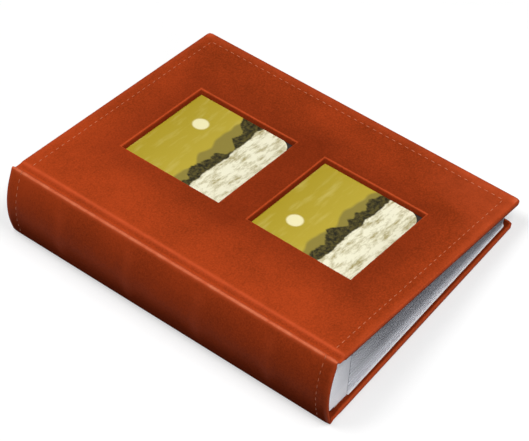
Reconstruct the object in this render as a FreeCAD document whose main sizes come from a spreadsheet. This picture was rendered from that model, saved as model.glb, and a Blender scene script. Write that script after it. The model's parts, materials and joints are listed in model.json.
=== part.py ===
"""Stamp album in a padded leather case, lying closed on its back cover.

Millimetres and degrees. +X runs from the spine to the fore edge, +Y to the head
and +Z up from the table. The origin is the middle of the foot of the whole object.
"""
import FreeCAD, Part
import math
import os
import Sketcher

SIZES = (
    # covers
    ("cover_height", 240.0),
    ("front_width", 177.5),
    ("back_width", 174.5),
    ("cover_corner", 4.0),
    ("edge_round", 1.2),
    ("inner_round", 0.4),
    ("leather", 0.6),
    ("board", 2.2),
    ("turn_in", 0.6),
    ("lining", 0.4),
    ("turn_in_width", 14.0),
    ("lining_inset", 4.0),
    ("fit", 0.1),
    # windows of the front cover and the picture cards behind them
    ("window_width", 76.0),
    ("window_height", 75.0),
    ("window_inset", 50.8),
    ("window_gap", 21.4),
    ("window_bevel_angle", 28.0),
    ("window_lip", 0.5),
    ("picture_margin", 5.0),
    ("picture", 0.4),
    # rounded spine
    ("spine_chord", 48.5),
    ("spine_bulge", 5.2),
    ("spine_lean_angle", 7.65),
    ("spine_board", 1.2),
    ("spine_turn_in", 5.0),
    ("spine_cloth", 0.3),
    ("spine_gap", 0.2),
    # leather joints between the spine and the covers
    ("joint_width", 5.0),
    ("joint_leather", 0.8),
    ("joint_setback", 2.2),
    ("joint_clearance", 0.3),
    ("hinge_depth", 1.7),
    ("ridge_rise", 0.9),
    # leaves
    ("leaf_count", 12.0),
    ("card", 0.5),
    ("film", 0.07),
    ("interleaf", 0.05),
    ("flyleaf", 0.15),
    ("sheet_gap", 0.155),
    ("square", 3.5),
    ("fore_square", 5.0),
    ("leaf_corner", 3.0),
    ("root_inset", 12.0),
    ("root_gap", 0.7),
    ("guard_slit", 0.1),
    # clear strips on both sides of each leaf
    ("strip_count", 7.0),
    ("strip_gap", 2.4),
    ("strip_end", 4.0),
    ("strip_root", 12.0),
    ("strip_fore", 5.0),
)

UP = FreeCAD.Vector(0, 0, 1)
Y_AXIS = FreeCAD.Vector(0, 1, 0)
TINY = 1e-4

doc = FreeCAD.newDocument("stamp_album")
sheet = doc.addObject("Spreadsheet::Sheet", "Sizes")
for row, (alias, number) in enumerate(SIZES, start=1):
    cell = "A%d" % row
    sheet.set(cell, str(number))
    sheet.setAlias(cell, alias)
doc.recompute()

nodes = []


def value(expression):
    """Number that an expression over the sheet gives."""
    return float(sheet.evalExpression(expression))


def point(x, y):
    return FreeCAD.Vector(x, y, 0)


# Expressions shared by several pieces.
CASE_EDGE = "(Sizes.leather + Sizes.board + Sizes.turn_in)"
CASE_FULL = "(Sizes.leather + Sizes.board + Sizes.turn_in + Sizes.lining)"
BOARD_BACK = "(Sizes.leather + Sizes.board)"
HALF_HEIGHT = "(Sizes.cover_height / 2)"
LEAF_HEIGHT = "(Sizes.cover_height - 2 * Sizes.square)"
LEAF_LENGTH = "(Sizes.back_width - Sizes.fore_square - Sizes.root_inset)"
SPINE_HALF = "(Sizes.spine_board / 2 + Sizes.leather)"
SPINE_RADIUS = "((Sizes.spine_chord^2 / 4 + Sizes.spine_bulge^2) / (2 * Sizes.spine_bulge))"
CLOTH_OUTER = "(%s - %s - Sizes.spine_gap)" % (SPINE_RADIUS, SPINE_HALF)
CLOTH_INNER = "(%s - Sizes.spine_cloth)" % CLOTH_OUTER
STRIP_HEIGHT = (
    "((%s - 2 * Sizes.strip_end - (Sizes.strip_count - 1) * Sizes.strip_gap) / Sizes.strip_count)"
    % LEAF_HEIGHT
)

LEAVES = int(round(value("Sizes.leaf_count")))
STRIPS = int(round(value("Sizes.strip_count")))


# Sheets of the block from the back cover to the front cover: name, thickness alias.
SHEETS = [("back_flyleaf", "flyleaf")]
for number in range(LEAVES, 0, -1):
    SHEETS.append(("leaf_%02d_card" % number, "card"))
    if number > 1:
        SHEETS.append(("interleaf_%02d" % (number - 1), "interleaf"))
SHEETS.append(("front_flyleaf", "flyleaf"))


def sheet_bulk(kind):
    """Thickness a sheet takes up in the closed block, clear strips included."""
    bulk = value("Sizes." + kind)
    if kind == "card":
        bulk += 2 * value("Sizes.film")
    return bulk


def solve_layout():
    """Places of the spine, covers, hinge lines and sheets in the X-Z plane."""
    lean = math.radians(value("Sizes.spine_lean_angle"))
    along = (math.cos(lean), -math.sin(lean))
    rise = (math.sin(lean), math.cos(lean))
    half = value(SPINE_HALF)
    chord = value("Sizes.spine_chord")
    radius = value(SPINE_RADIUS)
    bulge = value("Sizes.spine_bulge")
    depth = value("Sizes.hinge_depth")
    setback = value("Sizes.joint_setback")
    joint = value("Sizes.joint_width")
    edge_gap = value("Sizes.joint_leather / 2 + Sizes.joint_clearance")
    case = value(CASE_FULL)
    gap = value("Sizes.sheet_gap")
    length = value(LEAF_LENGTH)

    foot = (0.0, half)

    def in_spine(u, w):
        return (
            foot[0] + u * along[0] + w * rise[0],
            foot[1] + u * along[1] + w * rise[1],
        )

    # back cover, flat on the table
    back_near = (foot[0] + setback, depth)
    back_far = (back_near[0] + joint, depth)
    back_edge = back_far[0] + edge_gap

    # lowest root, then the line of roots parallel to the spine chord
    first_bulk = sheet_bulk(SHEETS[0][1])
    root = (back_edge + value("Sizes.root_inset"), case + gap + first_bulk / 2)
    root_u = (root[0] - foot[0]) * along[0] + (root[1] - foot[1]) * along[1]
    root_w = (root[0] - foot[0]) * rise[0] + (root[1] - foot[1]) * rise[1]

    # the front cover leans on the fore edge of the closed block
    block = gap
    for name, kind in SHEETS:
        block += sheet_bulk(kind) + gap
    crown = in_spine(0, chord)
    below = case - (half - value("Sizes.ridge_rise"))
    reach = root_u + length
    fall = crown[1] - case - block
    tilt = math.asin(fall / math.hypot(reach, below)) - math.atan2(below, reach)
    slope = (math.cos(tilt), -math.sin(tilt))
    outward = (math.sin(tilt), math.cos(tilt))

    def from_crown(run, drop):
        return (
            crown[0] + run * slope[0] - drop * outward[0],
            crown[1] + run * slope[1] - drop * outward[1],
        )

    sunk = half - value("Sizes.ridge_rise")
    front_near = from_crown(setback, depth - sunk)
    front_far = from_crown(setback + joint, depth - sunk)
    front_edge = from_crown(setback + joint + edge_gap, -sunk)

    # highest root, under the front cover
    turn = tilt - lean
    last_bulk = sheet_bulk(SHEETS[-1][1])
    under = below + gap + last_bulk / 2
    run = (root_u + under * math.sin(turn)) / math.cos(turn)
    top_w = chord - under * math.cos(turn) - run * math.sin(turn)

    roots = []
    tip = case
    for index, (name, kind) in enumerate(SHEETS):
        w = root_w + (top_w - root_w) * index / (len(SHEETS) - 1)
        x, z = in_spine(root_u, w)
        bulk = sheet_bulk(kind)
        tip += gap + bulk / 2
        angle = math.degrees(math.asin((z - tip) / length))
        tip += bulk / 2
        roots.append((x, z, angle, w))

    # shift that puts the origin under the middle of the box
    centre = in_spine(radius - bulge, chord / 2)
    round_edge = value("Sizes.edge_round")
    width = value("Sizes.front_width")
    least = centre[0] - radius - half
    most = front_edge[0] + (width - round_edge) * slope[0] - round_edge * outward[0] + round_edge
    shift = -(least + most) / 2

    return {
        "shift": shift,
        "foot": (foot[0] + shift, foot[1]),
        "lean": math.degrees(lean),
        "tilt": math.degrees(tilt),
        "root_u": root_u,
        "root_w": root_w,
        "top_w": top_w,
        "back_near": (back_near[0] + shift, back_near[1]),
        "back_far": (back_far[0] + shift, back_far[1]),
        "back_edge": (back_edge + shift, 0.0),
        "front_near": (front_near[0] + shift, front_near[1]),
        "front_far": (front_far[0] + shift, front_far[1]),
        "front_edge": (front_edge[0] + shift, front_edge[1]),
        "roots": [(x + shift, z, angle, w) for x, z, angle, w in roots],
    }


LAYOUT = solve_layout()


def tilted(spot, angle):
    """Placement at a spot of the X-Z plane, turned about Y by an angle."""
    base = FreeCAD.Vector(spot[0], 0, spot[1])
    return FreeCAD.Placement(base, FreeCAD.Rotation(Y_AXIS, angle))


SPINE_PLACE = tilted(LAYOUT["foot"], LAYOUT["lean"])
FRONT_PLACE = tilted(LAYOUT["front_edge"], LAYOUT["tilt"])
BACK_PLACE = FreeCAD.Placement(
    FreeCAD.Vector(LAYOUT["back_edge"][0], 0, LAYOUT["back_edge"][1]),
    FreeCAD.Rotation(FreeCAD.Vector(1, 0, 0), 180),
)


def new_body(label):
    """Empty body that becomes one node of the object."""
    body = doc.addObject("PartDesign::Body", label)
    body.Label = label
    nodes.append(body)
    return body


def origin_part(body, role):
    return [part for part in body.Origin.OriginFeatures if part.Role == role][0]


def new_sketch(body, name, role, lift=None):
    """Sketch on an origin plane of the body, lifted by an expression if one is given."""
    sketch = body.newObject("Sketcher::SketchObject", name)
    sketch.AttachmentSupport = [(origin_part(body, role), "")]
    sketch.MapMode = "FlatFace"
    if lift:
        sketch.setExpression("AttachmentOffset.Base.z", lift)
    return sketch


def bind(sketch, kind, *where, size):
    """Constraint whose size is bound to the sheet (text) or comes from the layout (number)."""
    bound = isinstance(size, str)
    number = value(size) if bound else size
    index = sketch.addConstraint(Sketcher.Constraint(kind, *where, number))
    if bound:
        sketch.setExpression("Constraints[%d]" % index, size)


def join(sketch, kind, *where):
    sketch.addConstraint(Sketcher.Constraint(kind, *where))


def rectangle(sketch, left, right, low, high):
    """Rectangle whose four sides stand at the given expressions."""
    x0, x1, y0, y1 = (value(side) for side in (left, right, low, high))
    corners = [point(x0, y0), point(x1, y0), point(x1, y1), point(x0, y1)]
    lines = []
    for index in range(4):
        line = Part.LineSegment(corners[index], corners[(index + 1) % 4])
        lines.append(sketch.addGeometry(line))
    for index in range(4):
        join(sketch, "Coincident", lines[index], 2, lines[(index + 1) % 4], 1)
    join(sketch, "Horizontal", lines[0])
    join(sketch, "Vertical", lines[1])
    join(sketch, "Horizontal", lines[2])
    join(sketch, "Vertical", lines[3])
    bind(sketch, "DistanceX", -1, 1, lines[3], 1, size=left)
    bind(sketch, "DistanceX", -1, 1, lines[1], 1, size=right)
    bind(sketch, "DistanceY", -1, 1, lines[0], 1, size=low)
    bind(sketch, "DistanceY", -1, 1, lines[2], 1, size=high)


def rounded_panel(sketch, left, right, half_height, corner):
    """Panel, even about X, with rounded corners at its fore edge."""
    x0, x1, half, radius = (value(size) for size in (left, right, half_height, corner))
    low_arc = Part.Circle(point(x1 - radius, -half + radius), UP, radius)
    high_arc = Part.Circle(point(x1 - radius, half - radius), UP, radius)
    low = sketch.addGeometry(Part.LineSegment(point(x0, -half), point(x1 - radius, -half)))
    low_turn = sketch.addGeometry(Part.ArcOfCircle(low_arc, -math.pi / 2, 0))
    fore = sketch.addGeometry(Part.LineSegment(point(x1, -half + radius), point(x1, half - radius)))
    high_turn = sketch.addGeometry(Part.ArcOfCircle(high_arc, 0, math.pi / 2))
    high = sketch.addGeometry(Part.LineSegment(point(x1 - radius, half), point(x0, half)))
    near = sketch.addGeometry(Part.LineSegment(point(x0, half), point(x0, -half)))
    join(sketch, "Tangent", low, 2, low_turn, 1)
    join(sketch, "Tangent", low_turn, 2, fore, 1)
    join(sketch, "Tangent", fore, 2, high_turn, 1)
    join(sketch, "Tangent", high_turn, 2, high, 1)
    join(sketch, "Coincident", high, 2, near, 1)
    join(sketch, "Coincident", near, 2, low, 1)
    join(sketch, "Horizontal", low)
    join(sketch, "Vertical", fore)
    join(sketch, "Horizontal", high)
    join(sketch, "Vertical", near)
    bind(sketch, "DistanceX", -1, 1, near, 1, size=left)
    bind(sketch, "DistanceX", -1, 1, fore, 1, size=right)
    bind(sketch, "DistanceY", -1, 1, low, 1, size="-" + half_height)
    bind(sketch, "DistanceY", -1, 1, high, 1, size=half_height)
    bind(sketch, "Radius", low_turn, size=corner)
    bind(sketch, "Radius", high_turn, size=corner)


def extrude(body, kind, sketch, length, side="One side", reverse=False, taper=None):
    """Pad or Pocket of a sketch by a length expression."""
    feature = body.newObject("PartDesign::" + kind, kind + "_" + sketch.Name)
    feature.Profile = sketch
    feature.setExpression("Length", length)
    feature.SideType = side
    feature.Reversed = reverse
    if taper:
        feature.setExpression("TaperAngle", taper)
    sketch.Visibility = False
    doc.recompute()
    return feature


def fillet(body, name, radius, wanted):
    """Round the edges of the body's last feature that pass a test."""
    tip = body.Tip
    names = []
    for index, edge in enumerate(tip.Shape.Edges, start=1):
        if wanted(edge):
            names.append("Edge%d" % index)
    feature = body.newObject("PartDesign::Fillet", name)
    feature.Base = (tip, names)
    feature.setExpression("Radius", radius)
    doc.recompute()
    return feature


def window_sides(name, grow):
    """Expressions for the sides of a window, made larger all round by an expression."""
    left = "(Sizes.window_inset - %s)" % grow
    right = "(Sizes.window_inset + Sizes.window_width + %s)" % grow
    near = "(Sizes.window_gap / 2 - %s)" % grow
    far = "(Sizes.window_gap / 2 + Sizes.window_height + %s)" % grow
    if name == "upper":
        return left, right, near, far
    return left, right, "-" + far, "-" + near


def both_windows(sketch, grow):
    for name in ("upper", "lower"):
        rectangle(sketch, *window_sides(name, grow))


def make_leather(prefix, width, windows):
    """Covering leather: outer face, wrapped edges, turn-ins and lined window walls."""
    body = new_body(prefix + "_leather")
    blank = new_sketch(body, prefix + "_blank", "XY_Plane")
    rounded_panel(blank, "0 * Sizes.leather", width, HALF_HEIGHT, "Sizes.cover_corner")
    extrude(body, "Pad", blank, CASE_EDGE, reverse=True)
    fore = value(width)
    head = value(HALF_HEIGHT)
    back = -value(CASE_EDGE)

    def on_rim(edge, level):
        box = edge.BoundBox
        if abs(box.ZMin - level) > TINY or abs(box.ZMax - level) > TINY:
            return False
        return box.XMax > TINY

    fillet(body, prefix + "_outer_rim", "Sizes.edge_round", lambda edge: on_rim(edge, 0))
    fillet(body, prefix + "_inner_rim", "Sizes.inner_round", lambda edge: on_rim(edge, back))

    space = new_sketch(body, prefix + "_board_space", "XY_Plane", "-Sizes.leather")
    board_outline(space, width)
    extrude(body, "Pocket", space, "Sizes.board")
    opening = new_sketch(body, prefix + "_opening", "XY_Plane", "-" + BOARD_BACK)
    rectangle(
        opening,
        "-Sizes.leather",
        width + " - Sizes.turn_in_width",
        "-" + HALF_HEIGHT + " + Sizes.turn_in_width",
        HALF_HEIGHT + " - Sizes.turn_in_width",
    )
    extrude(body, "Pocket", opening, "Sizes.turn_in")
    if windows:
        walls = new_sketch(body, "window_walls", "XY_Plane")
        both_windows(walls, "Sizes.leather")
        extrude(body, "Pad", walls, BOARD_BACK, reverse=True, taper="-Sizes.window_bevel_angle")
        view = new_sketch(body, "window_openings", "XY_Plane")
        both_windows(view, "0 * Sizes.leather")
        extrude(body, "Pocket", view, BOARD_BACK, taper="-Sizes.window_bevel_angle")

        def on_lip(edge):
            box = edge.BoundBox
            if abs(box.ZMin) > TINY or abs(box.ZMax) > TINY:
                return False
            return 1 < box.XMin and box.XMax < fore - 10 and abs(box.YMin) < head - 10

        fillet(body, "window_lips", "Sizes.window_lip", on_lip)
    return body


def board_outline(sketch, width):
    rounded_panel(
        sketch,
        "Sizes.leather",
        "(%s - Sizes.leather)" % width,
        "(%s - Sizes.leather)" % HALF_HEIGHT,
        "(Sizes.cover_corner - Sizes.leather)",
    )


def make_board(prefix, width, windows):
    """Stiff board inside a cover."""
    body = new_body(prefix + "_board")
    outline = new_sketch(body, prefix + "_board_outline", "XY_Plane", "-Sizes.leather")
    board_outline(outline, width)
    extrude(body, "Pad", outline, "Sizes.board", reverse=True)
    if windows:
        cut = new_sketch(body, "board_windows", "XY_Plane")
        both_windows(cut, "Sizes.leather")
        extrude(body, "Pocket", cut, BOARD_BACK, taper="-Sizes.window_bevel_angle")
    return body


def make_infill(prefix, width, windows):
    """Card that levels the space between the turn-ins and holds the pictures in place."""
    body = new_body(prefix + "_infill")
    outline = new_sketch(body, prefix + "_infill_outline", "XY_Plane", "-" + BOARD_BACK)
    side = "(%s - Sizes.turn_in_width - Sizes.fit)" % HALF_HEIGHT
    rectangle(
        outline,
        "Sizes.leather",
        "(%s - Sizes.turn_in_width - Sizes.fit)" % width,
        "-" + side,
        side,
    )
    if windows:
        both_windows(outline, "(Sizes.picture_margin + Sizes.fit)")
    extrude(body, "Pad", outline, "Sizes.turn_in", reverse=True)
    return body


def make_lining(prefix, width):
    """Paper pasted over the inner face of a cover."""
    body = new_body(prefix + "_lining")
    outline = new_sketch(body, prefix + "_lining_outline", "XY_Plane", "-" + CASE_EDGE)
    rounded_panel(
        outline,
        "Sizes.leather",
        "(%s - Sizes.lining_inset)" % width,
        "(%s - Sizes.lining_inset)" % HALF_HEIGHT,
        "Sizes.cover_corner",
    )
    extrude(body, "Pad", outline, "Sizes.lining", reverse=True)
    return body


def make_picture(name):
    """Loose card behind one window."""
    body = new_body(name + "_picture")
    outline = new_sketch(body, name + "_card", "XY_Plane", "-" + BOARD_BACK)
    rectangle(outline, *window_sides(name, "Sizes.picture_margin"))
    extrude(body, "Pad", outline, "Sizes.picture", reverse=True)
    return body


def arc_between(centre, radius, start, end):
    """Arc, counterclockwise, between two angles in degrees."""
    circle = Part.Circle(centre, UP, radius)
    return Part.ArcOfCircle(circle, math.radians(start), math.radians(end))


def spine_band(sketch, half):
    """Band that follows the rounded spine, with half-round ends."""
    radius = value(SPINE_RADIUS)
    chord = value("Sizes.spine_chord")
    thick = value(half)
    centre = point(radius - value("Sizes.spine_bulge"), chord / 2)
    spread = math.degrees(math.asin(chord / 2 / radius))
    start, end = 180 - spread, 180 + spread
    outer = sketch.addGeometry(arc_between(centre, radius + thick, start, end))
    inner = sketch.addGeometry(arc_between(centre, radius - thick, start, end))
    low = sketch.addGeometry(arc_between(point(0, 0), thick, end, end + 180))
    high = sketch.addGeometry(arc_between(point(0, chord), thick, start - 180, start))
    join(sketch, "Tangent", outer, 2, low, 1)
    join(sketch, "Tangent", low, 2, inner, 2)
    join(sketch, "Tangent", inner, 1, high, 1)
    join(sketch, "Tangent", high, 2, outer, 1)
    join(sketch, "Coincident", outer, 3, inner, 3)
    join(sketch, "Coincident", low, 3, -1, 1)
    bind(sketch, "DistanceX", -1, 1, outer, 3, size=SPINE_RADIUS + " - Sizes.spine_bulge")
    bind(sketch, "DistanceY", -1, 1, outer, 3, size="Sizes.spine_chord / 2")
    bind(sketch, "DistanceY", -1, 1, high, 3, size="Sizes.spine_chord")
    bind(sketch, "Radius", low, size=half)


def curved_back(sketch, radius, other_side, low, high, front=None):
    """Shape with an arc of the spine as its back and level ends.

    Its other side is a second arc about the same centre, or a flat front.
    """
    big = value(radius)
    middle = value(SPINE_RADIUS + " - Sizes.spine_bulge")
    centre = point(middle, value("Sizes.spine_chord / 2"))
    bottom = value(low) if isinstance(low, str) else low
    top = value(high) if isinstance(high, str) else high

    def angle_at(level, size):
        return 180 - math.degrees(math.asin((level - centre.y) / size))

    def spot(level, size):
        angle = math.radians(angle_at(level, size))
        return point(centre.x + size * math.cos(angle), level)

    back = sketch.addGeometry(arc_between(centre, big, angle_at(top, big), angle_at(bottom, big)))
    if front is None:
        small = value(other_side)
        near_low, near_high = spot(bottom, small), spot(top, small)
    else:
        near_low, near_high = point(front, bottom), point(front, top)
    foot = sketch.addGeometry(Part.LineSegment(spot(bottom, big), near_low))
    cap = sketch.addGeometry(Part.LineSegment(near_high, spot(top, big)))
    if front is None:
        arc = arc_between(centre, small, angle_at(top, small), angle_at(bottom, small))
        near = sketch.addGeometry(arc)
        ends = (2, 1)
    else:
        near = sketch.addGeometry(Part.LineSegment(near_low, near_high))
        ends = (1, 2)
    join(sketch, "Coincident", back, 2, foot, 1)
    join(sketch, "Coincident", foot, 2, near, ends[0])
    join(sketch, "Coincident", near, ends[1], cap, 1)
    join(sketch, "Coincident", cap, 2, back, 1)
    join(sketch, "Horizontal", foot)
    join(sketch, "Horizontal", cap)
    bind(sketch, "DistanceX", -1, 1, back, 3, size=SPINE_RADIUS + " - Sizes.spine_bulge")
    bind(sketch, "DistanceY", -1, 1, back, 3, size="Sizes.spine_chord / 2")
    bind(sketch, "Radius", back, size=radius)
    bind(sketch, "DistanceY", -1, 1, foot, 1, size=low)
    bind(sketch, "DistanceY", -1, 1, cap, 1, size=high)
    if front is None:
        join(sketch, "Coincident", back, 3, near, 3)
        bind(sketch, "Radius", near, size=other_side)
    else:
        join(sketch, "Vertical", near)
        bind(sketch, "DistanceX", -1, 1, near, 1, size=front)


def make_spine():
    """Rounded spine: covered board, cloth lining and the stack of leaf guards."""
    leather = new_body("spine_leather")
    skin = new_sketch(leather, "spine_skin", "XZ_Plane")
    spine_band(skin, SPINE_HALF)
    extrude(leather, "Pad", skin, "Sizes.cover_height", side="Symmetric")
    hollow = new_sketch(leather, "spine_hollow", "XZ_Plane")
    spine_band(hollow, "Sizes.spine_board / 2")
    board_height = "Sizes.cover_height - 2 * Sizes.leather"
    extrude(leather, "Pocket", hollow, board_height, side="Symmetric")
    bare = new_sketch(leather, "spine_bare", "XZ_Plane")
    curved_back(
        bare,
        SPINE_RADIUS + " - Sizes.spine_board / 2",
        SPINE_RADIUS + " - Sizes.spine_board / 2 - 2 * Sizes.leather",
        "Sizes.spine_turn_in",
        "Sizes.spine_chord - Sizes.spine_turn_in",
    )
    bare_height = "Sizes.cover_height - 2 * Sizes.turn_in_width"
    extrude(leather, "Pocket", bare, bare_height, side="Symmetric")

    board = new_body("spine_board")
    core = new_sketch(board, "spine_core", "XZ_Plane")
    spine_band(core, "Sizes.spine_board / 2")
    extrude(board, "Pad", core, board_height, side="Symmetric")

    cloth = new_body("spine_lining")
    weave = new_sketch(cloth, "spine_weave", "XZ_Plane")
    curved_back(
        weave,
        CLOTH_OUTER,
        CLOTH_INNER,
        "Sizes.spine_turn_in",
        "Sizes.spine_chord - Sizes.spine_turn_in",
    )
    extrude(cloth, "Pad", weave, LEAF_HEIGHT, side="Symmetric")

    guards = new_body("leaf_guards")
    block = new_sketch(guards, "guard_block", "XZ_Plane")
    front = LAYOUT["root_u"] - value("Sizes.root_gap")
    low = LAYOUT["root_w"]
    high = LAYOUT["top_w"]
    curved_back(block, CLOTH_INNER + " - Sizes.fit", None, low, high, front=front)
    extrude(guards, "Pad", block, LEAF_HEIGHT, side="Symmetric")
    pitch = (high - low) / (len(SHEETS) - 1)
    slit = value("Sizes.guard_slit")
    knife = new_sketch(guards, "guard_slit", "XZ_Plane")
    rectangle(
        knife,
        "-2 * Sizes.spine_bulge",
        "2 * %f" % front,
        "%f" % (low + pitch / 2 - slit / 2),
        "%f" % (low + pitch / 2 + slit / 2),
    )
    cut = extrude(guards, "Pocket", knife, "Sizes.cover_height", side="Symmetric")
    row = guards.newObject("PartDesign::LinearPattern", "guard_slits")
    row.Originals = [cut]
    row.Direction = (origin_part(guards, "Z_Axis"), [""])
    row.Length = pitch * (len(SHEETS) - 2)
    row.Occurrences = len(SHEETS) - 1
    guards.Tip = row
    doc.recompute()

    for body in (leather, board, cloth, guards):
        body.Placement = SPINE_PLACE


def make_joint(label, place):
    """Strip of leather between two hinge lines, with a round bead on each."""
    body = new_body(label)
    section = new_sketch(body, label + "_section", "XZ_Plane")
    reach = value("Sizes.joint_width")
    half = value("Sizes.joint_leather / 2")
    near = section.addGeometry(arc_between(point(0, 0), half, 90, 270))
    low = section.addGeometry(Part.LineSegment(point(0, -half), point(reach, -half)))
    far = section.addGeometry(arc_between(point(reach, 0), half, -90, 90))
    high = section.addGeometry(Part.LineSegment(point(reach, half), point(0, half)))
    join(section, "Tangent", near, 2, low, 1)
    join(section, "Tangent", low, 2, far, 1)
    join(section, "Tangent", far, 2, high, 1)
    join(section, "Tangent", high, 2, near, 1)
    join(section, "Coincident", near, 3, -1, 1)
    join(section, "Horizontal", low)
    join(section, "Horizontal", high)
    bind(section, "DistanceX", -1, 1, far, 3, size="Sizes.joint_width")
    bind(section, "Radius", near, size="Sizes.joint_leather / 2")
    extrude(body, "Pad", section, "Sizes.cover_height", side="Symmetric")
    body.Placement = place


def make_sheet(label, kind, place):
    """Leaf, interleaf or flyleaf with a half-round root on its hinge line."""
    body = new_body(label)
    section = new_sketch(body, label + "_section", "XZ_Plane")
    half_size = "Sizes.%s / 2" % kind
    half = value(half_size)
    length = value(LEAF_LENGTH)
    root = section.addGeometry(arc_between(point(0, 0), half, 90, 270))
    low = section.addGeometry(Part.LineSegment(point(0, -half), point(length, -half)))
    fore = section.addGeometry(Part.LineSegment(point(length, -half), point(length, half)))
    high = section.addGeometry(Part.LineSegment(point(length, half), point(0, half)))
    join(section, "Tangent", root, 2, low, 1)
    join(section, "Coincident", low, 2, fore, 1)
    join(section, "Coincident", fore, 2, high, 1)
    join(section, "Tangent", high, 2, root, 1)
    join(section, "Coincident", root, 3, -1, 1)
    join(section, "Horizontal", low)
    join(section, "Horizontal", high)
    join(section, "Vertical", fore)
    bind(section, "DistanceX", -1, 1, fore, 1, size=LEAF_LENGTH)
    bind(section, "Radius", root, size=half_size)
    extrude(body, "Pad", section, LEAF_HEIGHT, side="Symmetric")

    def at_fore_corner(edge):
        box = edge.BoundBox
        return box.XMin > length - TINY and box.YLength < TINY

    fillet(body, label + "_corners", "Sizes.leaf_corner", at_fore_corner)
    body.Placement = place


def make_strips(label, place):
    """Clear strips on both faces of a leaf."""
    body = new_body(label)
    outline = new_sketch(body, label + "_outline", "XY_Plane", "Sizes.card / 2")
    low = "(Sizes.strip_end - %s / 2)" % LEAF_HEIGHT
    rectangle(
        outline,
        "Sizes.strip_root",
        LEAF_LENGTH + " - Sizes.strip_fore",
        low,
        "(%s + %s)" % (low, STRIP_HEIGHT),
    )
    strip = extrude(body, "Pad", outline, "Sizes.film")
    row = body.newObject("PartDesign::LinearPattern", label + "_row")
    row.Originals = [strip]
    row.Direction = (origin_part(body, "Y_Axis"), [""])
    row.setExpression("Length", "(%s + Sizes.strip_gap) * (Sizes.strip_count - 1)" % STRIP_HEIGHT)
    row.Occurrences = STRIPS
    body.Tip = row
    doc.recompute()
    faces = body.newObject("PartDesign::Mirrored", label + "_faces")
    faces.TransformMode = "Whole shape"
    faces.MirrorPlane = (origin_part(body, "XY_Plane"), [""])
    body.Tip = faces
    doc.recompute()
    body.Placement = place


def make_cover(prefix, width, place, windows):
    pieces = [
        make_leather(prefix, width, windows),
        make_board(prefix, width, windows),
        make_infill(prefix, width, windows),
        make_lining(prefix, width),
    ]
    if windows:
        pieces.append(make_picture("upper"))
        pieces.append(make_picture("lower"))
    for body in pieces:
        body.Placement = place


make_cover("front", "Sizes.front_width", FRONT_PLACE, True)
make_cover("back", "Sizes.back_width", BACK_PLACE, False)
make_spine()
make_joint("front_joint_leather", tilted(LAYOUT["front_near"], LAYOUT["tilt"]))
make_joint("back_joint_leather", tilted(LAYOUT["back_near"], 0))
for (sheet_name, sheet_kind), (root_x, root_z, sheet_angle, level) in zip(SHEETS, LAYOUT["roots"]):
    sheet_place = tilted((root_x, root_z), sheet_angle)
    make_sheet(sheet_name, sheet_kind, sheet_place)
    if sheet_kind == "card":
        make_strips(sheet_name.replace("_card", "_strips"), sheet_place)
doc.recompute()

for item in doc.Objects:
    for state in item.State:
        if state in ("Invalid", "Error"):
            raise RuntimeError("%s is %s" % (item.Label, state))

os.makedirs("parts", exist_ok=True)
for node in nodes:
    if node.Shape.isNull() or not node.Shape.isValid():
        raise RuntimeError("%s has no valid shape" % node.Label)
    node.Shape.exportStep("parts/%s.step" % node.Label)
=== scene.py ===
"""Looks of the stamp album: leather case, stitching, pictures and leaves.

Metres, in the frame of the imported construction. +X runs from the spine to the fore edge,
+Y to the head and +Z up. On a cover, s runs from its spine edge to the fore edge, y across
the cover and n outwards from its outer face.
"""
import collections
import json
import math

import bpy
import numpy as np
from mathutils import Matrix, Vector


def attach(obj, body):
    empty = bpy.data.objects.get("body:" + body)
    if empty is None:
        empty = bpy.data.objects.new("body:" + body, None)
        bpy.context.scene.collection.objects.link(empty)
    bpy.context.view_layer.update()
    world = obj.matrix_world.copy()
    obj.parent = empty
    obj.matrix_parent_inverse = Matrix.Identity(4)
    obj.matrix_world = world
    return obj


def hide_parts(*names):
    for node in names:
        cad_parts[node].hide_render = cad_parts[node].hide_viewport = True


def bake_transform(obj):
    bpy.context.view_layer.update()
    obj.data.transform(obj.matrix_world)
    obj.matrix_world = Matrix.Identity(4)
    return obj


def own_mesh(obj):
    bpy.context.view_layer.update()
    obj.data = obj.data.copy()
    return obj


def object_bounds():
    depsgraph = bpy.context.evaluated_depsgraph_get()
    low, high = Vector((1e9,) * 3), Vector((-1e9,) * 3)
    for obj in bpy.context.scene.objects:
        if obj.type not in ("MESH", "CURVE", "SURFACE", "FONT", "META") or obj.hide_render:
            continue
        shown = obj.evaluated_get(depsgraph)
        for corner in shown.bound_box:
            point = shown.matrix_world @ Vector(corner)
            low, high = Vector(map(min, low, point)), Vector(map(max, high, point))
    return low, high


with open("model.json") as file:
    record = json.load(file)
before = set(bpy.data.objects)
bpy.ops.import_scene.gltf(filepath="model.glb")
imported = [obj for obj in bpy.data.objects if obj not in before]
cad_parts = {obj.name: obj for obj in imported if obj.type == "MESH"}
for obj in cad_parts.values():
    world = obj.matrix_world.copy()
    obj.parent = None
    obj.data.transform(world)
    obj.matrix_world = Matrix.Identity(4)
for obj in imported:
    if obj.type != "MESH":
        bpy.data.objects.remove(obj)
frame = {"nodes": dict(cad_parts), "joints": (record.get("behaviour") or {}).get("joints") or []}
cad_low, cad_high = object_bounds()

MM = 0.001
NODES = frame["nodes"]
JOINTS = {joint["name"]: joint for joint in frame["joints"]}

# Case, as it is built under the leather.
SHOULDER_RADIUS = 1.2 * MM
SHOULDER_SETBACK = 2.2 * MM
EDGE_GAP = 0.7 * MM
HINGE_DEPTH = 1.7 * MM
SPINE_BULGE = 5.2 * MM
SPINE_THICK = 2.4 * MM
SPINE_THINNED = 3.5 * MM
COVER_CORNER = 2.6 * MM
COVER_THICK = 3.4 * MM
TURN_IN = 14.0 * MM
FRONT_RIDGE = 0.9 * MM
BACK_RIDGE = 0.0

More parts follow.
